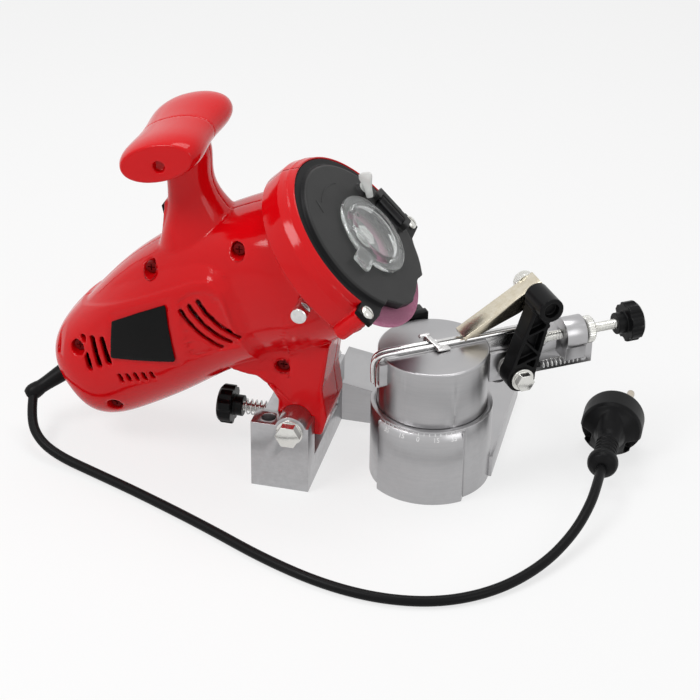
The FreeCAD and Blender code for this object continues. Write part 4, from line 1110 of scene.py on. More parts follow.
@dataclass
class Lamp:
    """Soft box: where it stands, what it points at, its size and its power."""

    name: str
    at: Point
    to: Point
    size: tuple[float, float]
    power: float

    def build(self) -> None:
        """Add the light."""
        deselect()
        bpy.ops.object.light_add(type="AREA", location=self.at)
        lamp = bpy.context.active_object
        lamp.name = self.name
        lamp.data.shape = "RECTANGLE"
        lamp.data.size, lamp.data.size_y = self.size
        lamp.data.energy = self.power
        aim = Vector(self.to) - Vector(self.at)
        lamp.rotation_euler = aim.to_track_quat("-Z", "Y").to_euler()


@dataclass
class Studio:
    """Camera at the photographed angle, white surroundings, floor and soft boxes."""

    azimuth: float = 13.405
    elevation: float = 31.1
    roll: float = 0.816
    distance: float = 1194.06
    target: Point = (-50.11, -0.3, 75.09)
    lens: float = 104.05
    ambient: float = 0.42
    floor_white: float = 0.72
    floor_tint: Colour = (0.86, 0.86, 0.86, 1.0)
    lamps: list[Lamp] = field(default_factory=lambda: [
        Lamp("key_box", (-0.62, -0.55, 0.95), (-0.1, 0.0, 0.1), (0.5, 0.36), 5.6),
        Lamp("top_box", (-0.05, 0.25, 1.05), (-0.05, 0.0, 0.1), (0.7, 0.35), 3.7),
        Lamp("fill_box", (0.85, -0.6, 0.6), (0.0, 0.0, 0.05), (0.5, 0.6), 2.0),
    ])

    def build(self) -> None:
        """Set up everything that isn't part of the object."""
        self.build_camera()
        self.build_world()
        self.build_floor()
        for lamp in self.lamps:
            lamp.build()
        bpy.context.scene.view_settings.view_transform = "Standard"

    def build_camera(self) -> None:
        """Camera on a sphere round its target."""
        az, el, roll = (math.radians(a) for a in (self.azimuth, self.elevation, self.roll))
        back = Vector((math.sin(az) * math.cos(el), -math.cos(az) * math.cos(el), math.sin(el)))
        level = Vector((math.cos(az), math.sin(az), 0.0))
        rise = back.cross(level)
        right = level * math.cos(roll) + rise * math.sin(roll)
        up = rise * math.cos(roll) - level * math.sin(roll)
        deselect()
        bpy.ops.object.camera_add()
        camera = bpy.context.active_object
        turn = Matrix((right, up, back)).transposed().to_4x4()
        spot = (Vector(self.target) + back * self.distance) * MM
        camera.matrix_world = Matrix.Translation(spot) @ turn
        camera.data.lens = self.lens
        camera.data.sensor_width = 36.0
        camera.data.clip_start = 0.05
        bpy.context.scene.camera = camera

    def build_world(self) -> None:
        """White where it is seen or mirrored, softer as light."""
        world = bpy.data.worlds.new("white_room")
        bpy.context.scene.world = world
        world.use_nodes = True
        graph = Graph(world.node_tree)
        seen = self.seen(graph)
        strength = graph.ramp(seen, 0.0, 1.0, (self.ambient, 1.0))
        shader = world.node_tree.nodes["Background"]
        graph.feed(shader, "Color", (1.0, 1.0, 1.0, 1.0))
        graph.feed(shader, "Strength", strength)

    def seen(self, graph: Graph) -> bpy.types.NodeSocket:
        """Whether a ray looks straight at the surroundings, in a mirror or through glass.

        Args:
            graph: nodes of the surroundings or of the floor.

        Returns:
            Output that is 1 for such a ray and 0 for any other.
        """
        path = graph.add("LightPath")
        direct = graph.math("MAXIMUM", path.outputs["Is Camera Ray"], path.outputs["Is Glossy Ray"])
        return graph.math("MAXIMUM", direct, path.outputs["Is Transmission Ray"])

    def build_floor(self) -> None:
        """Pale sheet that takes the object's shadow."""
        deselect()
        bpy.ops.mesh.primitive_plane_add(size=12.0, location=(0.0, 0.0, -0.0002))
        floor = new_piece("studio_floor")
        material = bpy.data.materials.new("floor_sheet")
        material.use_nodes = True
        graph = Graph(material.node_tree)
        shader = material.node_tree.nodes["Principled BSDF"]
        graph.feed(shader, "Base Color", self.floor_tint)
        graph.feed(shader, "Roughness", 0.9)
        graph.feed(shader, "Specular IOR Level", 0.0)
        glow = graph.add("Emission", Color=(1.0, 1.0, 1.0, 1.0), Strength=1.0)
        blend = graph.add("MixShader")
        graph.feed(blend, 0, graph.math("MULTIPLY", self.seen(graph), self.floor_white))
        graph.feed(blend, 1, shader.outputs["BSDF"])
        graph.feed(blend, 2, glow.outputs["Emission"])
        graph.feed(material.node_tree.nodes["Material Output"], "Surface", blend.outputs["Shader"])
        floor.data.materials.append(material)


# Mains lead

@dataclass
class MainsLead:
    """Free cord from the motor's sleeve to its plug, with both ends' mouldings."""

    diameter: float = 6.0
    length: float = 0.47
    lies_at: Point = (-0.112, -0.096, 0.003)
    sleeve_start: Point = (-213.0, 4.0, 46.0)
    sleeve_end: Point = (-245.0, -18.9, 25.9)
    plug_at: Point = (103.5, -3.0, 19.0)
    plug_length: float = 60.0
    pin_length: float = 19.0
    pin_pitch: float = 19.0
    pin_roll: float = 40.0
    route: tuple[Point, ...] = (
        (-244.212, -22.308, 23.96), (-241.1, -35.5, 16.5), (-231.6, -46.8, 10.2), (-216.6, -53.5, 5.5),
        (-192.4, -61.5, 3.7), (-160.0, -74.0, 3.05), (-112.0, -96.0, 3.05), (-70.3, -117.5, 3.05),
        (-31.2, -132.0, 3.05), (4.1, -136.3, 3.05), (36.0, -130.0, 3.05), (63.0, -112.0, 3.3),
        (83.5, -86.0, 5.5), (96.0, -59.0, 10.0), (102.0, -36.0, 15.5), (103.5, -17.0, 19.0),
        (103.5, -3.0, 19.0),
    )
    plug_profile: Outline = (
        (0.0, 0.0), (4.4, 0.0), (5.6, 0.6), (8.0, 2.2), (9.0, 4.2), (9.3, 6.6), (9.0, 9.0), (7.4, 11.4),
        (6.0, 12.6), (6.0, 14.0), (7.0, 14.2), (7.0, 16.0), (6.0, 16.2), (6.0, 17.6), (7.0, 17.8),
        (7.0, 19.6), (6.0, 19.8), (6.0, 21.2), (7.0, 21.4), (7.0, 23.2), (6.0, 23.4), (6.0, 25.0),
        (7.0, 25.4), (7.2, 30.0), (9.4, 36.0), (15.2, 40.6), (17.6, 42.2), (18.7, 44.6), (18.7, 58.0),
        (18.2, 59.4), (17.2, 60.0), (0.0, 60.0))
    neck: tuple[Ring, ...] = (
        Ring(26.0, 0.0, 6.2, 6.2), Ring(31.0, 0.8, 7.2, 7.4), Ring(36.0, 2.4, 8.2, 9.2),
        Ring(41.0, 4.4, 8.6, 11.4), Ring(45.0, 5.4, 8.4, 12.4), Ring(50.0, 5.6, 7.8, 12.4),
        Ring(54.0, 5.0, 7.0, 11.6))

    def build(self) -> None:
        line = self.line()
        cord = wire("lead_cord", self.route, self.diameter / 2)
        dress(cord, Slot.RUBBER, LEAD_BLACK, "mains_cord")
        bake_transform(cord)
        self.sleeve()
        self.plug()
        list(self.pins())
        LOG.info("lead_cord from head to base")

    def line(self) -> list[Point]:
        """Follow the cord's middle.

        Returns:
            Points along it, in metres.
        """
        guide = bent("cord_line", self.route)
        drawn = bpy.data.meshes.new_from_object(guide)
        points = [tuple(vertex.co) for vertex in drawn.vertices]
        bpy.data.objects.remove(guide)
        bpy.data.meshes.remove(drawn)
        return points

    def sleeve(self) -> None:
        """Tapered strain relief with a ball end."""
        profile = ((0.0, 0.0), (6.2, 0.0), (6.2, 13.6), (5.9, 17.0), (5.2, 26.0), (4.5, 35.0),
                   (4.4, 38.6), (4.8, 40.4), (5.15, 43.0), (5.1, 45.2), (4.5, 47.2), (3.4, 48.8),
                   (0.0, 49.4))
        sleeve = lathe("lead_sleeve", profile)
        place(sleeve, axle(self.sleeve_start, self.sleeve_end))
        smooth(sleeve, 50.0)
        settle(sleeve, "head", Slot.RUBBER, LEAD_BLACK, "cord_sleeve")

    def plug(self) -> bpy.types.Object:
        """Moulded plug: ribbed relief, neck that climbs its back and a grip recess on each side.

        Returns:
            The plug, in its place.
        """
        body = lathe("lead_plug", self.plug_profile, 64)
        place(body, lengthwise())
        unite(body, loft("plug_neck", self.neck, 2.3, 40))
        for side in (-1, 1):
            recess = block("recess_tool", (36.0, 10.4, -12.0), (47.5, 22.0, -2.5))
            place(recess, Matrix.Rotation(math.radians(8.0 if side > 0 else 172.0), 4, "X"))
            if side < 0:
                place(recess, Matrix.Diagonal((1.0, 1.0, -1.0, 1.0)))
                merge(recess)
            cut(body, recess)
        place(body, Seat(self.plug_at, turn=90.0).matrix())
        round_off(body, 0.45, 3, 110000)
        settle(body, "base", Slot.RUBBER, LEAD_BLACK, "plug_body")
        return body

    def pins(self) -> list[bpy.types.Object]:
        """Both round pins with their domed ends.

        Returns:
            The pins, in their places.
        """
        pins = []
        roll = math.radians(self.pin_roll)
        for number, side in ((1, -1), (2, 1)):
            profile = ((0.0, 0.0), (2.4, 0.0), (2.4, 17.2), (2.2, 18.2), (1.5, 18.8), (0.0, 19.0))
            pin = lathe(f"lead_pin_{number}", profile, 32)
            reach = side * self.pin_pitch / 2
            x, y, z = self.plug_at
            root = (x + reach * math.cos(roll), y + self.plug_length, z + reach * math.sin(roll))
            place(pin, axle(root, (root[0], root[1] + self.pin_length, root[2])))
            smooth(pin, 40.0)
            settle(pin, "base", node_slot(f"plug_pin_{number}"), PRONG_METAL, f"plug_pin_{number}")
            pins.append(pin)
        return pins


# Motor head

def reach_inside(x: float, z: float, outline: Outline) -> float:
    """Distance of a point inside an outline from its edge, negative outside.

    Args:
        x: point's first coordinate.
        z: point's second coordinate.
        outline: corners in order.

    Returns:
        Distance in the outline's own unit.
    """
    inside = False
    nearest = math.inf
    for (x0, z0), (x1, z1) in zip(outline, outline[1:] + outline[:1]):
        if (z0 > z) != (z1 > z) and x < x0 + (z - z0) * (x1 - x0) / (z1 - z0):
            inside = not inside
        run = (x1 - x0, z1 - z0)
        share = ((x - x0) * run[0] + (z - z0) * run[1]) / (run[0] ** 2 + run[1] ** 2)
        share = min(1.0, max(0.0, share))
        nearest = min(nearest, math.hypot(x - x0 - share * run[0], z - z0 - share * run[1]))
    return nearest if inside else -nearest


class Half(Enum):
    """The two moulded shells and the side each lies on."""

    FRONT = -1
    REAR = 1


@dataclass
class MotorHead:
    """Red moulded shells with handle, neck, body and wheel ring, and their screws and switch."""

    voxel: float = 0.85
    passes: int = 7
    overlap: float = 0.8
    ring_bevel: Outline = ((54.2, 9.6), (54.2, 8.4), (58.5, -0.4), (64.0, -0.4), (64.0, 9.6), (54.2, 9.6))
    ring_lining: Outline = ((53.7, 2.4), (57.0, 2.4), (57.0, 5.2), (53.7, 5.2), (53.7, 2.4))
    ring_band: Outline = ((53.55, 2.0), (53.55, 8.6), (54.4, 8.8), (58.6, -0.3), (58.6, -13.0),
                          (57.0, -14.4), (56.0, -14.4), (56.0, 2.0), (53.55, 2.0))
    ear: Outline = ((45.0, -17.2), (63.0, -17.2), (63.0, -33.0), (40.0, -33.0))
    boss: tuple[float, float] = (55.5, -23.0)
    mouth: float = -21.0
    handle_hole: tuple[float, float] = (-151.4, 199.3)
    switch_at: tuple[float, float] = (-159.0, 149.0)
    shoulder_sink: float = 2.6
    slots_at: tuple[float, float] = (-127.9, 101.6)
    slots_along: tuple[float, float] = (0.757, -0.653)
    slots_half: float = 17.0
    slots_bow: float = 2.6
    slots_depth: float = 20.0
    slots_aside: tuple[float, float] = (-22.0, 9.0)
    slots_fade: float = 7.0
    flank: tuple[tuple[float, float], tuple[float, float]] = ((-225.0, -80.0), (60.0, 165.0))
    flank_depth: float = 12.0
    fold_in: float = 6.5
    fold_out: float = 24.0
    vent_sink: float = 1.0
    vent_edge: float = 1.6
    corner_rise: float = 0.6
    plate_sink: float = 0.45
    panel_edge: float = 1.2
    shoulder: Outline = ((-226.0, 86.0), (-212.9, 93.9), (-192.8, 106.4), (-172.4, 118.1),
                         (-151.0, 130.5), (-135.3, 136.9), (-125.0, 139.3), (-116.1, 137.6),
                         (-109.8, 129.4), (-105.6, 117.3), (-100.0, 102.4), (-95.0, 90.2), (-89.4, 75.0),
                         (-86.0, 60.0), (-150.0, 20.0), (-226.0, 20.0))
    vent_panel: Outline = ((-141.5, 117.0), (-133.3, 123.2), (-124.2, 125.2), (-117.0, 122.5),
                           (-110.5, 109.5), (-106.0, 92.5), (-135.5, 79.0))
    vent_corner: Outline = ((-134.6, 93.0), (-130.8, 95.6), (-116.5, 86.6), (-133.9, 81.5))
    plate_frame: Outline = ((-187.6, 97.0), (-148.8, 116.5), (-142.6, 73.0), (-188.6, 67.6))

    def build(self) -> None:
        """Make both shells."""
        self.shell(Half.FRONT, "housing_front", "shell_front")
        self.shell(Half.REAR, "housing_rear", "shell_rear")

    def shell(self, half: Half, node: str, name: str) -> None:
        """Make one shell from its solid, with soft edges, the ring's bevel and the pressed panels.

        Args:
            half: side of the shell.
            node: CAD node it stands for.
            name: piece's name.
        """
        shell = copy_node(node, name)
        for vertex in shell.data.vertices:
            if abs(vertex.co.y) < 0.00002:
                vertex.co.y -= half.value * self.overlap * MM
        bevel = lathe("bevel_tool", self.ring_bevel, 96)
        place(bevel, self.spindle())
        cut(shell, bevel)
        hole = lathe("hole_tool", ((0.0, 0.0), (3.5, 0.0), (3.5, 12.0), (0.0, 12.0)), 32)
        x, z = self.handle_hole
        place(hole, axle((x, half.value * 44.0, z), (x, 0.0, z)))
        cut(shell, hole)
        floor = lathe("hole_floor", ((0.0, 0.0), (5.0, 0.0), (5.0, 2.4), (0.0, 2.4)), 32)
        place(floor, axle((x, half.value * 33.4, z), (x, 0.0, z)))
        lining = self.ring_part("ring_lining", self.ring_lining, half, self.overlap)
        gather(shell, [floor, lining, self.switch_lip(half), self.screw_boss(half)])
        round_off(shell, self.voxel, self.passes)
        self.press(shell, half)
        gather(shell, [self.ring_part("ring_band", self.ring_band, half, 0.0)])
        smooth(shell, 35.0)
        settle(shell, "head", Slot.RED, RED_GLOSS, node)

    def spindle(self) -> Matrix:
        """Matrix that stands the local Z axis on the spindle."""
        return HEAD.matrix() @ lengthwise()

    def ring_part(self, name: str, profile: Outline, half: Half, over: float) -> bpy.types.Object:
        """Turned part of the wheel ring, as far as this shell reaches and open at the mouth.

        Args:
            name: piece's name.
            profile: closed (radius, along the spindle) outline in millimetres.
            half: side of the shell.
            over: reach past the parting plane in millimetres.

        Returns:
            The part, in its place.
        """
        ring = lathe(name, profile, 128)
        place(ring, lengthwise())
        near, far = (-90.0, -over) if half is Half.REAR else (over, 90.0)
        cut(ring, block("half_tool", (-30.0, near, -90.0), (30.0, far, 90.0)))
        cut(ring, block("mouth_tool", (-30.0, -90.0, -90.0), (30.0, 90.0, self.mouth)))
        ear = prism("ear_tool", [(-half.value * y, v) for y, v in self.ear], 5.3, 14.0)
        merge(ear)
        place(ear, Matrix.Rotation(-math.pi / 2, 4, "Z"))
        cut(ring, ear)
        soften(ring, 0.35, 3, 20.0)
        place(ring, HEAD.matrix())
        return ring

    def screw_boss(self, half: Half) -> bpy.types.Object:
        """Boss behind the guard's ear, round the screw's shank.

        Args:
            half: side of the shell.

        Returns:
            The boss, in its place.
        """
        y, v = self.boss
        boss = lathe("ear_boss", ((0.0, -9.0), (4.9, -9.0), (4.9, 5.0), (0.0, 5.0)), 32)
        place(boss, lengthwise((0.0, half.value * y, v)))
        place(boss, HEAD.matrix())
        return boss

    def switch_lip(self, half: Half) -> bpy.types.Object:
        """Raised rim round the rocker, as far as this shell reaches.

        Args:
            half: side of the shell.

        Returns:
            The rim's part, in its place.
        """
        x, z = self.switch_at
        near = -self.overlap if half is Half.REAR else -9.3
        far = 9.3 if half is Half.REAR else self.overlap
        lip = block("switch_lip", (-1.6, near, -14.0), (7.0, far, 14.0))
        cut(lip, block("switch_tool", (-12.0, -6.75, -11.25), (20.0, 6.75, 11.25)))
        place(lip, Seat((x, 0.0, z), tilt=-6.0).matrix())
        return lip

    def press(self, shell: bpy.types.Object, half: Half) -> None:
        """Flatten the parting face, bow the vent slots, fold the flank's shoulder and press its panels.

        Args:
            shell: finished shell.
            half: its side.
        """
        side = half.value
        facing = [vertex.normal.y * side > 0.3 for vertex in shell.data.vertices]
        places = [vertex.co / MM for vertex in shell.data.vertices]
        for outer, spot in zip(facing, places):
            x, y, z = spot
            if y * side < 0.0:
                spot.y = 0.0
            depth = y * side
            if depth > self.slots_depth:
                bow = self.bow(x, z)
                spot.x += self.slots_along[1] * bow
                spot.z -= self.slots_along[0] * bow
            if depth < self.flank_depth or not outer or not self.on_flank(x, z):
                continue
            reach = reach_inside(x, z, self.shoulder)
            ramp = 1.0 - reach / self.fold_in if reach > 0 else 1.0 + reach / self.fold_out
            fade = min(1.0, (depth - self.flank_depth) / self.flank_depth)
            spot.y -= side * self.shoulder_sink * min(1.0, max(0.0, ramp)) * fade
            sink = self.vent_sink * self.ease(reach_inside(x, z, self.vent_panel), self.vent_edge)
            sink -= self.corner_rise * self.ease(reach_inside(x, z, self.vent_corner), self.panel_edge)
            if half is Half.FRONT:
                sink += self.plate_sink * self.ease(reach_inside(x, z, self.plate_frame), self.panel_edge)
            spot.y -= side * sink
        shell.data.vertices.foreach_set("co", [value * MM for spot in places for value in spot])
        shell.data.update()

    def on_flank(self, x: float, z: float) -> bool:
        """Whether a point lies in the part of the flank that is pressed."""
        (x0, x1), (z0, z1) = self.flank
        return x0 < x < x1 and z0 < z < z1

    def bow(self, x: float, z: float) -> float:
        """Sideways shift that bows the long vent slots, fading out round them.

        Args:
            x: point's place along the machine, in millimetres.
            z: point's height, in millimetres.

        Returns:
            The shift, in millimetres.
        """
        (x0, z0), (ax, az) = self.slots_at, self.slots_along
        along = ((x - x0) * ax + (z - z0) * az) / self.slots_half
        aside = (x - x0) * az - (z - z0) * ax
        first, last = self.slots_aside
        fade = min(1.0, max(0.0, (last - aside) / self.slots_fade),
                   max(0.0, (aside - first) / self.slots_fade))
        return self.slots_bow * max(0.0, 1.0 - along * along) * fade

    def ease(self, reach: float, edge: float) -> float:
        """Smooth step from 0 outside an outline to 1 inside it."""
        share = min(1.0, max(0.0, reach / edge + 0.5))
        return share * share * (3.0 - 2.0 * share)


# Wheel guard

@dataclass
class WheelGuard:
    """Black cover with its hinged clear window, turning flag and two screws."""

    voxel: float = 0.5
    passes: int = 4
    ears: tuple[tuple[float, float], ...] = ((-55.5, -23.0), (55.5, -23.0))
    ear_trim: Outline = ((53.6, -3.0), (65.0, -3.0), (65.0, -17.4), (50.7, -17.4), (52.0, -13.0),
                         (53.0, -8.0))
    window_at: Point = (11.4, 4.5, -3.0)
    hinge: tuple[float, float] = (13.7, 38.5)
    flag: tuple[float, float] = (33.0, 15.5)
    dimple_at: float = 16.4
    dimples: tuple[tuple[float, float], ...] = ((-0.2, 12.6), (13.5, -1.3), (-0.1, -15.0))
    window_profile: Outline = (
        (0.0, 5.0), (16.6, 5.0), (17.6, 5.5), (18.6, 5.5), (19.4, 4.9), (19.9, 3.6), (20.2, 2.5),
        (21.0, 2.1), (23.6, 2.1), (24.2, 2.5), (25.0, 2.3), (25.5, 1.4), (25.4, 0.4), (24.8, 0.0),
        (18.6, 0.0), (18.0, 2.6), (17.2, 3.3), (16.0, 3.5), (0.0, 3.5))

    def build(self) -> None:
        """Make the cover and what is on it."""
        self.cover()
        self.window()
        self.paddle()
        for number, (y, v) in enumerate(self.ears, 1):
            self.screw(number, y, v)

    def cover(self) -> None:
        """Cover with soft edges and its raised turning arrow."""
        cover = copy_node("guard_cover", "guard_shell")
        for side in (-1.0, 1.0):
            trim = prism("ear_trim", [(side * y, v) for y, v in self.ear_trim], 4.0, 14.0)
            merge(trim)
            place(trim, HEAD.matrix() @ Matrix.Rotation(-math.pi / 2, 4, "Z"))
            cut(cover, trim)
        round_off(cover, self.voxel, self.passes, 150000)
        section = ((34.7, 10.7), (35.4, 10.7), (35.3, 11.35), (34.8, 11.35))
        arrow = arc_bar("guard_arrow", section, 154.0, 46.0, 32)
        place(arrow, HEAD.matrix() @ lengthwise())
        barb = strip("guard_barb", (11.0, -15.1, 36.5), (11.0, -18.5, 28.8), 0.8, 0.8)
        place(barb, HEAD.matrix())
        gather(cover, [arrow, barb])
        smooth(cover, 60.0)
        settle(cover, "head", Slot.MOULDING, GUARD_BLACK, "guard_cover")

    def window(self) -> None:
        """Domed pane with beaded rims, three dimples, lifting grip, ear and hinge knuckle."""
        pane = lathe("clear_pane", self.window_profile, 96)
        place(pane, lengthwise(self.window_at))
        grip = block("pane_grip", (11.4, -31.0, -11.0), (15.2, -17.5, 1.0))
        soften(grip, 1.8, 4)
        unite(pane, grip)
        for y, v in self.dimples:
            profile = ((0.0, -0.4), (1.7, -0.4), (1.7, 0.2), (1.2, 0.6), (0.0, 0.7))
            dimple = lathe("pane_dimple", profile, 24)
            place(dimple, lengthwise((self.dimple_at, y, v)))
            unite(pane, dimple)
        place(pane, HEAD.matrix())
        smooth(pane, 35.0)
        settle(pane, "window", Slot.CLEAR, CLEAR_WINDOW, "guard_window")
        self.leaf()

    def leaf(self) -> None:
        """Black hinge leaf that carries the pane, with its knuckle round the pin."""
        a, y = self.hinge
        leaf = block("pane_leaf", (11.5, 26.0, -15.3), (13.5, y, 3.3))
        cover = block("leaf_cover", (11.6, 33.4, -15.5), (14.9, y - 0.7, 3.5))
        profile = ((0.0, -15.5), (2.0, -15.5), (2.3, -15.2), (2.3, 3.2), (2.0, 3.5), (0.0, 3.5))
        knuckle = lathe("pane_knuckle", profile, 32)
        place(knuckle, Matrix.Translation(Vector((a, y, 0.0)) * MM))
        for part in (cover, knuckle):
            unite(leaf, part)
        pin = lathe("pin_tool", ((0.0, -30.0), (1.33, -30.0), (1.33, 20.0), (0.0, 20.0)), 24)
        place(pin, Matrix.Translation(Vector((a, y, 0.0)) * MM))
        cut(leaf, pin)
        soften(leaf, 0.4, 2)
        place(leaf, HEAD.matrix())
        smooth(leaf, 35.0)
        settle(leaf, "window", Slot.MOULDING, KNOB_BLACK)

    def paddle(self) -> None:
        """Clear paddle on the turning screw beside the window."""
        y, v = self.flag
        profile = ((0.0, 6.5), (2.0, 6.5), (2.0, 13.4), (3.4, 13.4), (3.6, 13.7), (3.6, 15.1),
                   (3.2, 15.4), (0.0, 15.4))
        stem = lathe("flag_stem", profile, 32)
        place(stem, lengthwise((0.0, y, v)))
        rings = (Ring(0.0, 0.0, 1.7, 1.1), Ring(1.0, 0.0, 2.1, 1.4), Ring(5.0, 0.0, 2.3, 1.4),
                 Ring(9.0, 0.0, 3.1, 1.4), Ring(12.5, 0.0, 4.0, 1.3), Ring(14.6, 0.0, 3.6, 1.1),
                 Ring(15.4, 0.0, 2.2, 0.7))
        blade = loft("flag_blade", rings, 3.0, 32)
        start, end = Vector((13.9, 30.0, 9.6)), Vector((21.0, 30.8, 22.0))
        along = (end - start).normalized()
        across = Vector((1.0, 0.2, 0.0))
        across = (across - along * across.dot(along)).normalized()
        turned = Matrix((along, across, along.cross(across))).transposed().to_4x4()
        place(blade, Matrix.Translation(start * MM) @ turned)
        gather(stem, [blade])
        place(stem, HEAD.matrix())
        smooth(stem, 40.0)
        settle(stem, "flag", node_slot("window_flag_screw"), FROSTED, "window_flag_screw")

    def screw(self, number: int, y: float, v: float) -> None:
        """Domed screw with a slot, in one ear.

        Args:
            number: which CAD screw it stands for.
            y: place across the head.
            v: place up the cover.
        """
        profile = ((0.0, -2.0), (1.75, -2.0), (1.75, 8.5), (4.2, 8.5), (4.3, 9.2), (4.1, 9.9),
                   (3.3, 10.7), (1.8, 11.2), (0.0, 11.3))
        screw = lathe(f"guard_screw_dome_{number}", profile, 40)
        cut(screw, block("slot_tool", (-6.0, -0.55, 10.2), (6.0, 0.55, 14.0)))
        smooth(screw, 35.0)
        place(screw, lengthwise((0.0, y, v)))
        place(screw, HEAD.matrix())
        node = f"guard_screw_{number}"
        settle(screw, "head", node_slot(node), ZINC_PLATE, node)


# Castings

def eased_copy(node: str, body: str, edge: float, finish: Finish,
               angle: float = 40.0) -> bpy.types.Object:
    """Copy of a CAD node with its sharp edges rounded, in the node's place.

    Args:
        node: CAD node's name.
        body: CAD body it rides on.
        edge: width of the rounding in millimetres.
        finish: its finish.
        angle: bluntest edge that is rounded, in degrees.

    Returns:
        The piece.
    """
    piece = copy_node(node, f"{node}_eased")
    soften(piece, edge, 2, angle)
    smooth(piece, 40.0)
    settle(piece, body, node_slot(node), finish, node)
    return piece


def moulded_copy(node: str, body: str, voxel: float, passes: int, finish: Finish) -> bpy.types.Object:
    """Copy of a CAD node with every edge rounded as in a moulding.

    Args:
        node: CAD node's name.
        body: CAD body it rides on.
        voxel: face size in millimetres.
        passes: relaxing passes.
        finish: its finish.

    Returns:
        The piece.
    """
    piece = copy_node(node, f"{node}_moulded")
    round_off(piece, voxel, passes, 90000)
    settle(piece, body, node_slot(node), finish, node)
    return piece


@dataclass
class BenchBase:
    """Casting with fork, foot and swivel collar, its angle scale and the pivot's fastenings."""

    edge: float = 0.5
    pad: tuple[float, float] = (-131.7, 81.2)
    scale_low: tuple[float, float] = (39.4, 43.2)
    scale_high: tuple[float, float] = (36.3, 48.6)
    ticks: tuple[int, int, int] = (-125, -54, 5)
    labels: tuple[tuple[float, str], ...] = ((-120.5, "35"), (-105.0, "15"), (-90.0, "0"), (-74.0, "15"),
                                             (-58.5, "35"))

    def build(self) -> None:
        """Make the casting, its scale and its bolts."""
        casting = copy_node("base_casting", "casting")
        (low_r, low_z), (high_r, high_z) = self.scale_low, self.scale_high
        band = ((high_r, high_z), (low_r + 0.2, low_z - 0.35), (low_r + 4.0, low_z - 0.35),
                (low_r + 4.0, high_z + 3.0), (high_r, high_z + 3.0))
        cut(casting, arc_bar("scale_tool", band, *self.pad, 48))
        soften(casting, self.edge, 2)
        smooth(casting, 40.0)
        settle(casting, "base", Slot.CASTING, CAST_GREY, "base_casting")
        self.scale()
        for node in ("pivot_bolt", "pivot_nut"):
            eased_copy(node, "base", 0.5, ZINC_PLATE, 50.0)

    def scale(self) -> None:
        """Raised degree marks and numbers round the collar's sloping band."""
        marks = []
        for angle in range(*self.ticks):
            tick = block("tick", (-0.2, 0.0, -0.2), (0.2, 1.7, 0.14))
            place(tick, self.on_scale(angle, 4.1))
            marks.append(tick)
        for angle, text in self.labels:
            deselect()
            bpy.ops.object.text_add()
            label = new_piece("scale_number")
            label.data.body = text
            label.data.align_x = "CENTER"
            label.data.size = 3.9 * MM
            label.data.extrude = 0.12 * MM
            take(label)
            bpy.ops.object.convert(target="MESH")
            place(label, self.on_scale(angle, 0.7))
            marks.append(label)
        gather(marks[0], marks[1:])
        scale = marks[0]
        scale.name = "scale_marks"
        settle(scale, "base", Slot.CASTING, SCALE_MARK)

    def on_scale(self, angle: float, rise: float) -> Matrix:
        """Axes on the scale's band: X round it, Y up its slope and Z out of it.

        Args:
            angle: place round the collar in degrees.
            rise: distance up the slope in millimetres.

        Returns:
            The matrix, in metres.
        """
        low, high = Vector(self.scale_low), Vector(self.scale_high)
        up = (high - low).normalized()
        spot = low + up * rise
        out = Vector((math.cos(math.radians(angle)), math.sin(math.radians(angle))))
        level = Vector((-out.y, out.x, 0.0))
        slope = Vector((out.x * up.x, out.y * up.x, up.y))
        seat = Matrix((level, slope, level.cross(slope))).transposed().to_4x4()
        seat.translation = Vector((out.x * spot.x, out.y * spot.x, spot.y)) * MM
        return seat


# Vise

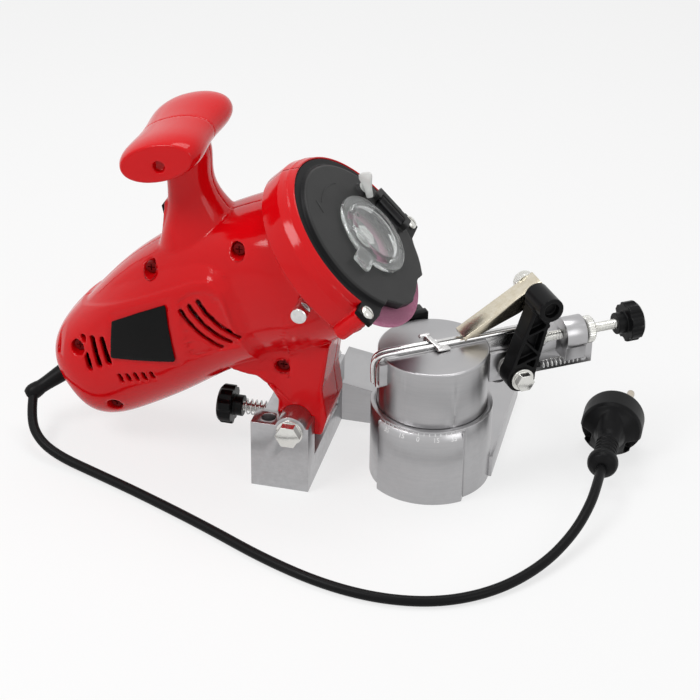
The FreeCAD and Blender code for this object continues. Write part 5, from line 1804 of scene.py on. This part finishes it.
@dataclass
class ChainVise:
    """Drum with its arm, bent steel jaws, clamp and the small bracket over the jaws."""

    edge: float = 0.5
    bead: float = 1.35
    front_face: float = -2.2
    rear_face: float = 2.2
    rods: tuple[float, float] = (-3.0, 7.0)
    hook: Outline = ((62.0, 87.0), (30.0, 87.0), (0.0, 87.0), (-22.0, 87.2), (-33.0, 87.4),
                     (-38.6, 85.4), (-39.6, 79.0), (-38.8, 70.5))

    def build(self) -> None:
        """Make the drum, jaws, clamp and bracket."""
        eased_copy("turntable", "table", self.edge, CAST_GREY)
        self.jaw("front_jaw", "clamp", self.front_face, self.hook)
        self.jaw("rear_jaw", "table", self.rear_face, tuple((s + 2.2, z) for s, z in self.hook[2:]))
        self.bracket()
        eased_copy("clamp_yoke", "clamp", 0.4, KNOB_BLACK)
        self.pull_rods()
        moulded_copy("clamp_lever", "lever", 0.4, 4, KNOB_BLACK)

    def jaw(self, node: str, body: str, across: float, line: Outline) -> None:
        """Jaw strip with its rolled edge, bent down at the outer end.

        Args:
            node: CAD node it stands for.
            body: CAD body it rides on.
            across: middle of the rolled edge across the vise.
            line: (along, height) points of the rolled edge.
        """
        jaw = copy_node(node, f"{node}_rolled")
        soften(jaw, 0.4, 2)
        roll = wire(f"{node}_roll", [(s, across, z) for s, z in line], self.bead)
        place(roll, VISE.matrix())
        gather(jaw, [roll])
        smooth(jaw, 40.0)
        settle(jaw, body, node_slot(node), BRIGHT_STEEL, node)

    def pull_rods(self) -> None:
        """Bright rods that draw the jaws together."""
        rods = []
        for s in self.rods:
            rod = lathe("clamp_rod", ((0.0, 0.0), (2.03, 0.0), (2.03, 36.9), (0.0, 36.9)), 32)
            place(rod, axle((s, -3.0, 76.0), (s, 40.0, 76.0)))
            place(rod, VISE.matrix())
            rods.append(rod)
        gather(rods[0], rods[1:])
        rods[0].name = "clamp_rods"
        smooth(rods[0], 40.0)
        settle(rods[0], "clamp", Slot.STEEL, BRIGHT_STEEL)

    def bracket(self) -> None:
        """Small bent steel piece over the jaws: cross bar, stem and foot."""
        bar = strip("jaw_bracket", (-7.4, 5.6, 90.2), (-0.4, 5.6, 90.2), 2.2, 2.2)
        stem = strip("bracket_stem", (-3.0, 6.0, 90.1), (1.3, -6.3, 87.2), 3.4, 1.3)
        foot = strip("bracket_foot", (-1.0, -5.9, 86.9), (7.4, -5.4, 86.2), 5.0, 1.5)
        post = strip("bracket_post", (-3.0, 5.6, 84.0), (-3.0, 5.6, 90.6), 2.4, 2.0)
        gather(bar, [stem, foot, post])
        place(bar, VISE.matrix())
        smooth(bar, 40.0)
        settle(bar, "table", Slot.STEEL, BRIGHT_STEEL)


# Chain stop and the two adjusters

@dataclass(frozen=True)
class Rod:
    """Threaded rod: CAD node, body and both ends in millimetres."""

    node: str
    body: str
    start: Point
    end: Point
    seat: Seat
    radius: float = 3.0
    pitch: float = 1.0

    def build(self) -> None:
        """Turn the core and wind the thread round it."""
        length = (Vector(self.end) - Vector(self.start)).length
        core = self.radius - 0.25
        profile = ((0.0, 0.0), (core - 0.3, 0.0), (core, 0.4), (core, length - 0.4),
                   (core - 0.3, length), (0.0, length))
        rod = lathe(f"{self.node}_thread", profile, 32)
        turns = int(length / self.pitch) - 1
        root = core - 0.1
        section = ((root, 0.0), (self.radius, 0.38), (self.radius, 0.56), (root, 0.94))
        ridge = helix("thread_ridge", section, self.pitch, turns, 24)
        gather(rod, [ridge])
        place(rod, axle(self.start, self.end))
        place(rod, self.seat.matrix())
        smooth(rod, 30.0)
        settle(rod, self.body, node_slot(self.node), ZINC_PLATE, self.node)


@dataclass(frozen=True)
class Spring:
    """Wound spring: CAD node, body, first and last point of its axis, and its wire."""

    node: str
    body: str
    start: Point
    end: Point
    seat: Seat
    radius: float
    turns: int
    gauge: float
    stays_on: str = ""

    def build(self) -> None:
        """Wind the wire; where its last end stays on another body, the spring is left unattached in the
        model's frame.
        """
        length = (Vector(self.end) - Vector(self.start)).length
        half = self.gauge / 2
        turn = [i * math.pi / 6 for i in range(12)]
        section = [(self.radius + half * math.cos(a), half * math.sin(a)) for a in turn]
        spring = helix(f"{self.node}_wound", section, length / self.turns, self.turns, 32)
        place(spring, axle(self.start, self.end))
        place(spring, self.seat.matrix())
        smooth(spring, 60.0)
        if not self.stays_on:
            settle(spring, self.body, node_slot(self.node), BRIGHT_STEEL, self.node)
            return
        dress(spring, node_slot(self.node), BRIGHT_STEEL, self.node)
        start, end = (self.seat.point(*spot) for spot in (self.start, self.end))
        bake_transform(spring)
        LOG.info("%s from %s to %s", spring.name, self.body, self.stays_on)


@dataclass
class ChainStop:
    """Webbed arm with its pawl and bolts, the adjusting screws with their knobs, and the springs."""

    rods: tuple[Rod, ...] = (
        Rod("adjusting_screw", "adjust_rod", (62.8, -12.5, 85.0), (121.0, -12.5, 85.0), VISE),
        Rod("depth_screw", "depth_rod", (-125.0, 0.0, 25.0), (-90.3, 0.0, 25.0), BENCH))
    springs: tuple[Spring, ...] = (
        Spring("depth_spring", "depth_rod", (-114.8, 0.0, 25.0), (-100.2, 0.0, 25.0), BENCH, 4.6, 5, 0.9,
               "base"),
        Spring("stop_spring", "table", (63.9, -12.5, 67.0), (88.8, -12.5, 67.0), VISE, 2.2, 9, 0.9),
        Spring("return_spring", "head", (-75.0, 14.3, 41.0), (-75.0, 25.5, 41.0), BENCH, 8.2, 4, 2.0))

    def build(self) -> None:
        """Make the stop and both adjusters."""
        moulded_copy("stop_arm", "stop", 0.45, 2, KNOB_BLACK)
        eased_copy("stop_bolt", "table", 0.45, ZINC_PLATE, 50.0)
        eased_copy("stop_washer", "table", 0.3, ZINC_PLATE)
        eased_copy("stop_pawl", "pawl", 0.35, YELLOW_ZINC)
        moulded_copy("depth_knob", "depth_grip", 0.35, 3, KNOB_BLACK)
        moulded_copy("adjusting_knob", "adjust_grip", 0.35, 3, KNOB_BLACK)
        self.nut("lock_nut", "jam_nut", (91.0, -12.5, 85.0), (96.0, -12.5, 85.0), 8.2, 3.03)
        self.nut("pawl_nut", "stop", (61.0, 6.5, 112.0), (61.0, 12.2, 112.0), 6.4, 3.0)
        for item in self.rods + self.springs:
            item.build()

    def nut(self, node: str, body: str, start: Point, end: Point, radius: float, bore: float) -> None:
        """Knurled nut on the vise.

        Args:
            node: CAD node it stands for.
            body: CAD body it rides on.
            start: middle of one face.
            end: middle of the other face.
            radius: radius over the knurl.
            bore: radius of its hole.
        """
        nut = knurled(f"{node}_knurled", radius, bore, (Vector(end) - Vector(start)).length, 36)
        place(nut, axle(start, end))
        place(nut, VISE.matrix())
        smooth(nut, 25.0)
        settle(nut, body, node_slot(node), ZINC_PLATE, node)


@dataclass
class FlankPlate:
    """Bare glossy plate on the flank, its corners trimmed."""

    outline: Outline = ((-184.9, 94.0), (-152.6, 112.6), (-151.0, 112.8), (-149.6, 111.4),
                        (-145.2, 77.2), (-145.6, 75.9), (-146.8, 75.3), (-184.8, 70.6), (-185.8, 71.0),
                        (-186.0, 72.4), (-185.6, 93.0))

    def build(self) -> None:
        """Trim the CAD plate's copy to the rounded outline."""
        plate = copy_node("rating_plate", "flank_plate")
        trim = prism("plate_trim", self.outline, -80.0, 0.0)
        use(plate, "BOOLEAN", operation="INTERSECT", object=trim, solver="EXACT")
        bpy.data.objects.remove(trim)
        soften(plate, 0.2, 2, 50.0)
        smooth(plate, 30.0)
        settle(plate, "head", Slot.LABEL, BARE_LABEL, "rating_plate")


@dataclass
class LockPin:
    """Push pin of the spindle lock, with a flat behind its round end."""

    along: float = -20.5
    radius: float = 4.5
    tip: float = -63.0

    def build(self) -> None:
        """Copy the pin and close its end with a full disc."""
        pin = copy_node("lock_pin", "lock_pin_bar")
        soften(pin, 0.3, 2)
        wide = self.radius
        profile = ((0.0, 0.0), (wide - 0.5, 0.0), (wide, 0.5), (wide, 3.0), (0.0, 3.0))
        cap = lathe("lock_pin_cap", profile, 48)
        place(cap, axle((self.along, self.tip - 0.05, 0.0), (self.along, 0.0, 0.0)))
        place(cap, HEAD.matrix())
        gather(pin, [cap])
        smooth(pin, 35.0)
        settle(pin, "lock", node_slot("lock_pin"), BRIGHT_STEEL, "lock_pin")


def dress_nodes() -> None:
    """Give every CAD node its finish."""
    for name, node in frame["nodes"].items():
        paint(node, NODE_FINISH.get(name) or SLOT_FINISH[node_slot(name)])


def main() -> None:
    """Build the studio and every sub-assembly in order."""
    logging.basicConfig(level=logging.INFO, format="%(message)s")
    dress_nodes()
    Studio().build()
    for assembly in (MainsLead(), MotorHead(), WheelGuard(), BenchBase(), ChainVise(), ChainStop(),
                     LockPin(), FlankPlate()):
        assembly.build()
    eased_copy("switch_rocker", "rocker", 0.5, KNOB_BLACK)


if __name__ == "__main__":
    main()
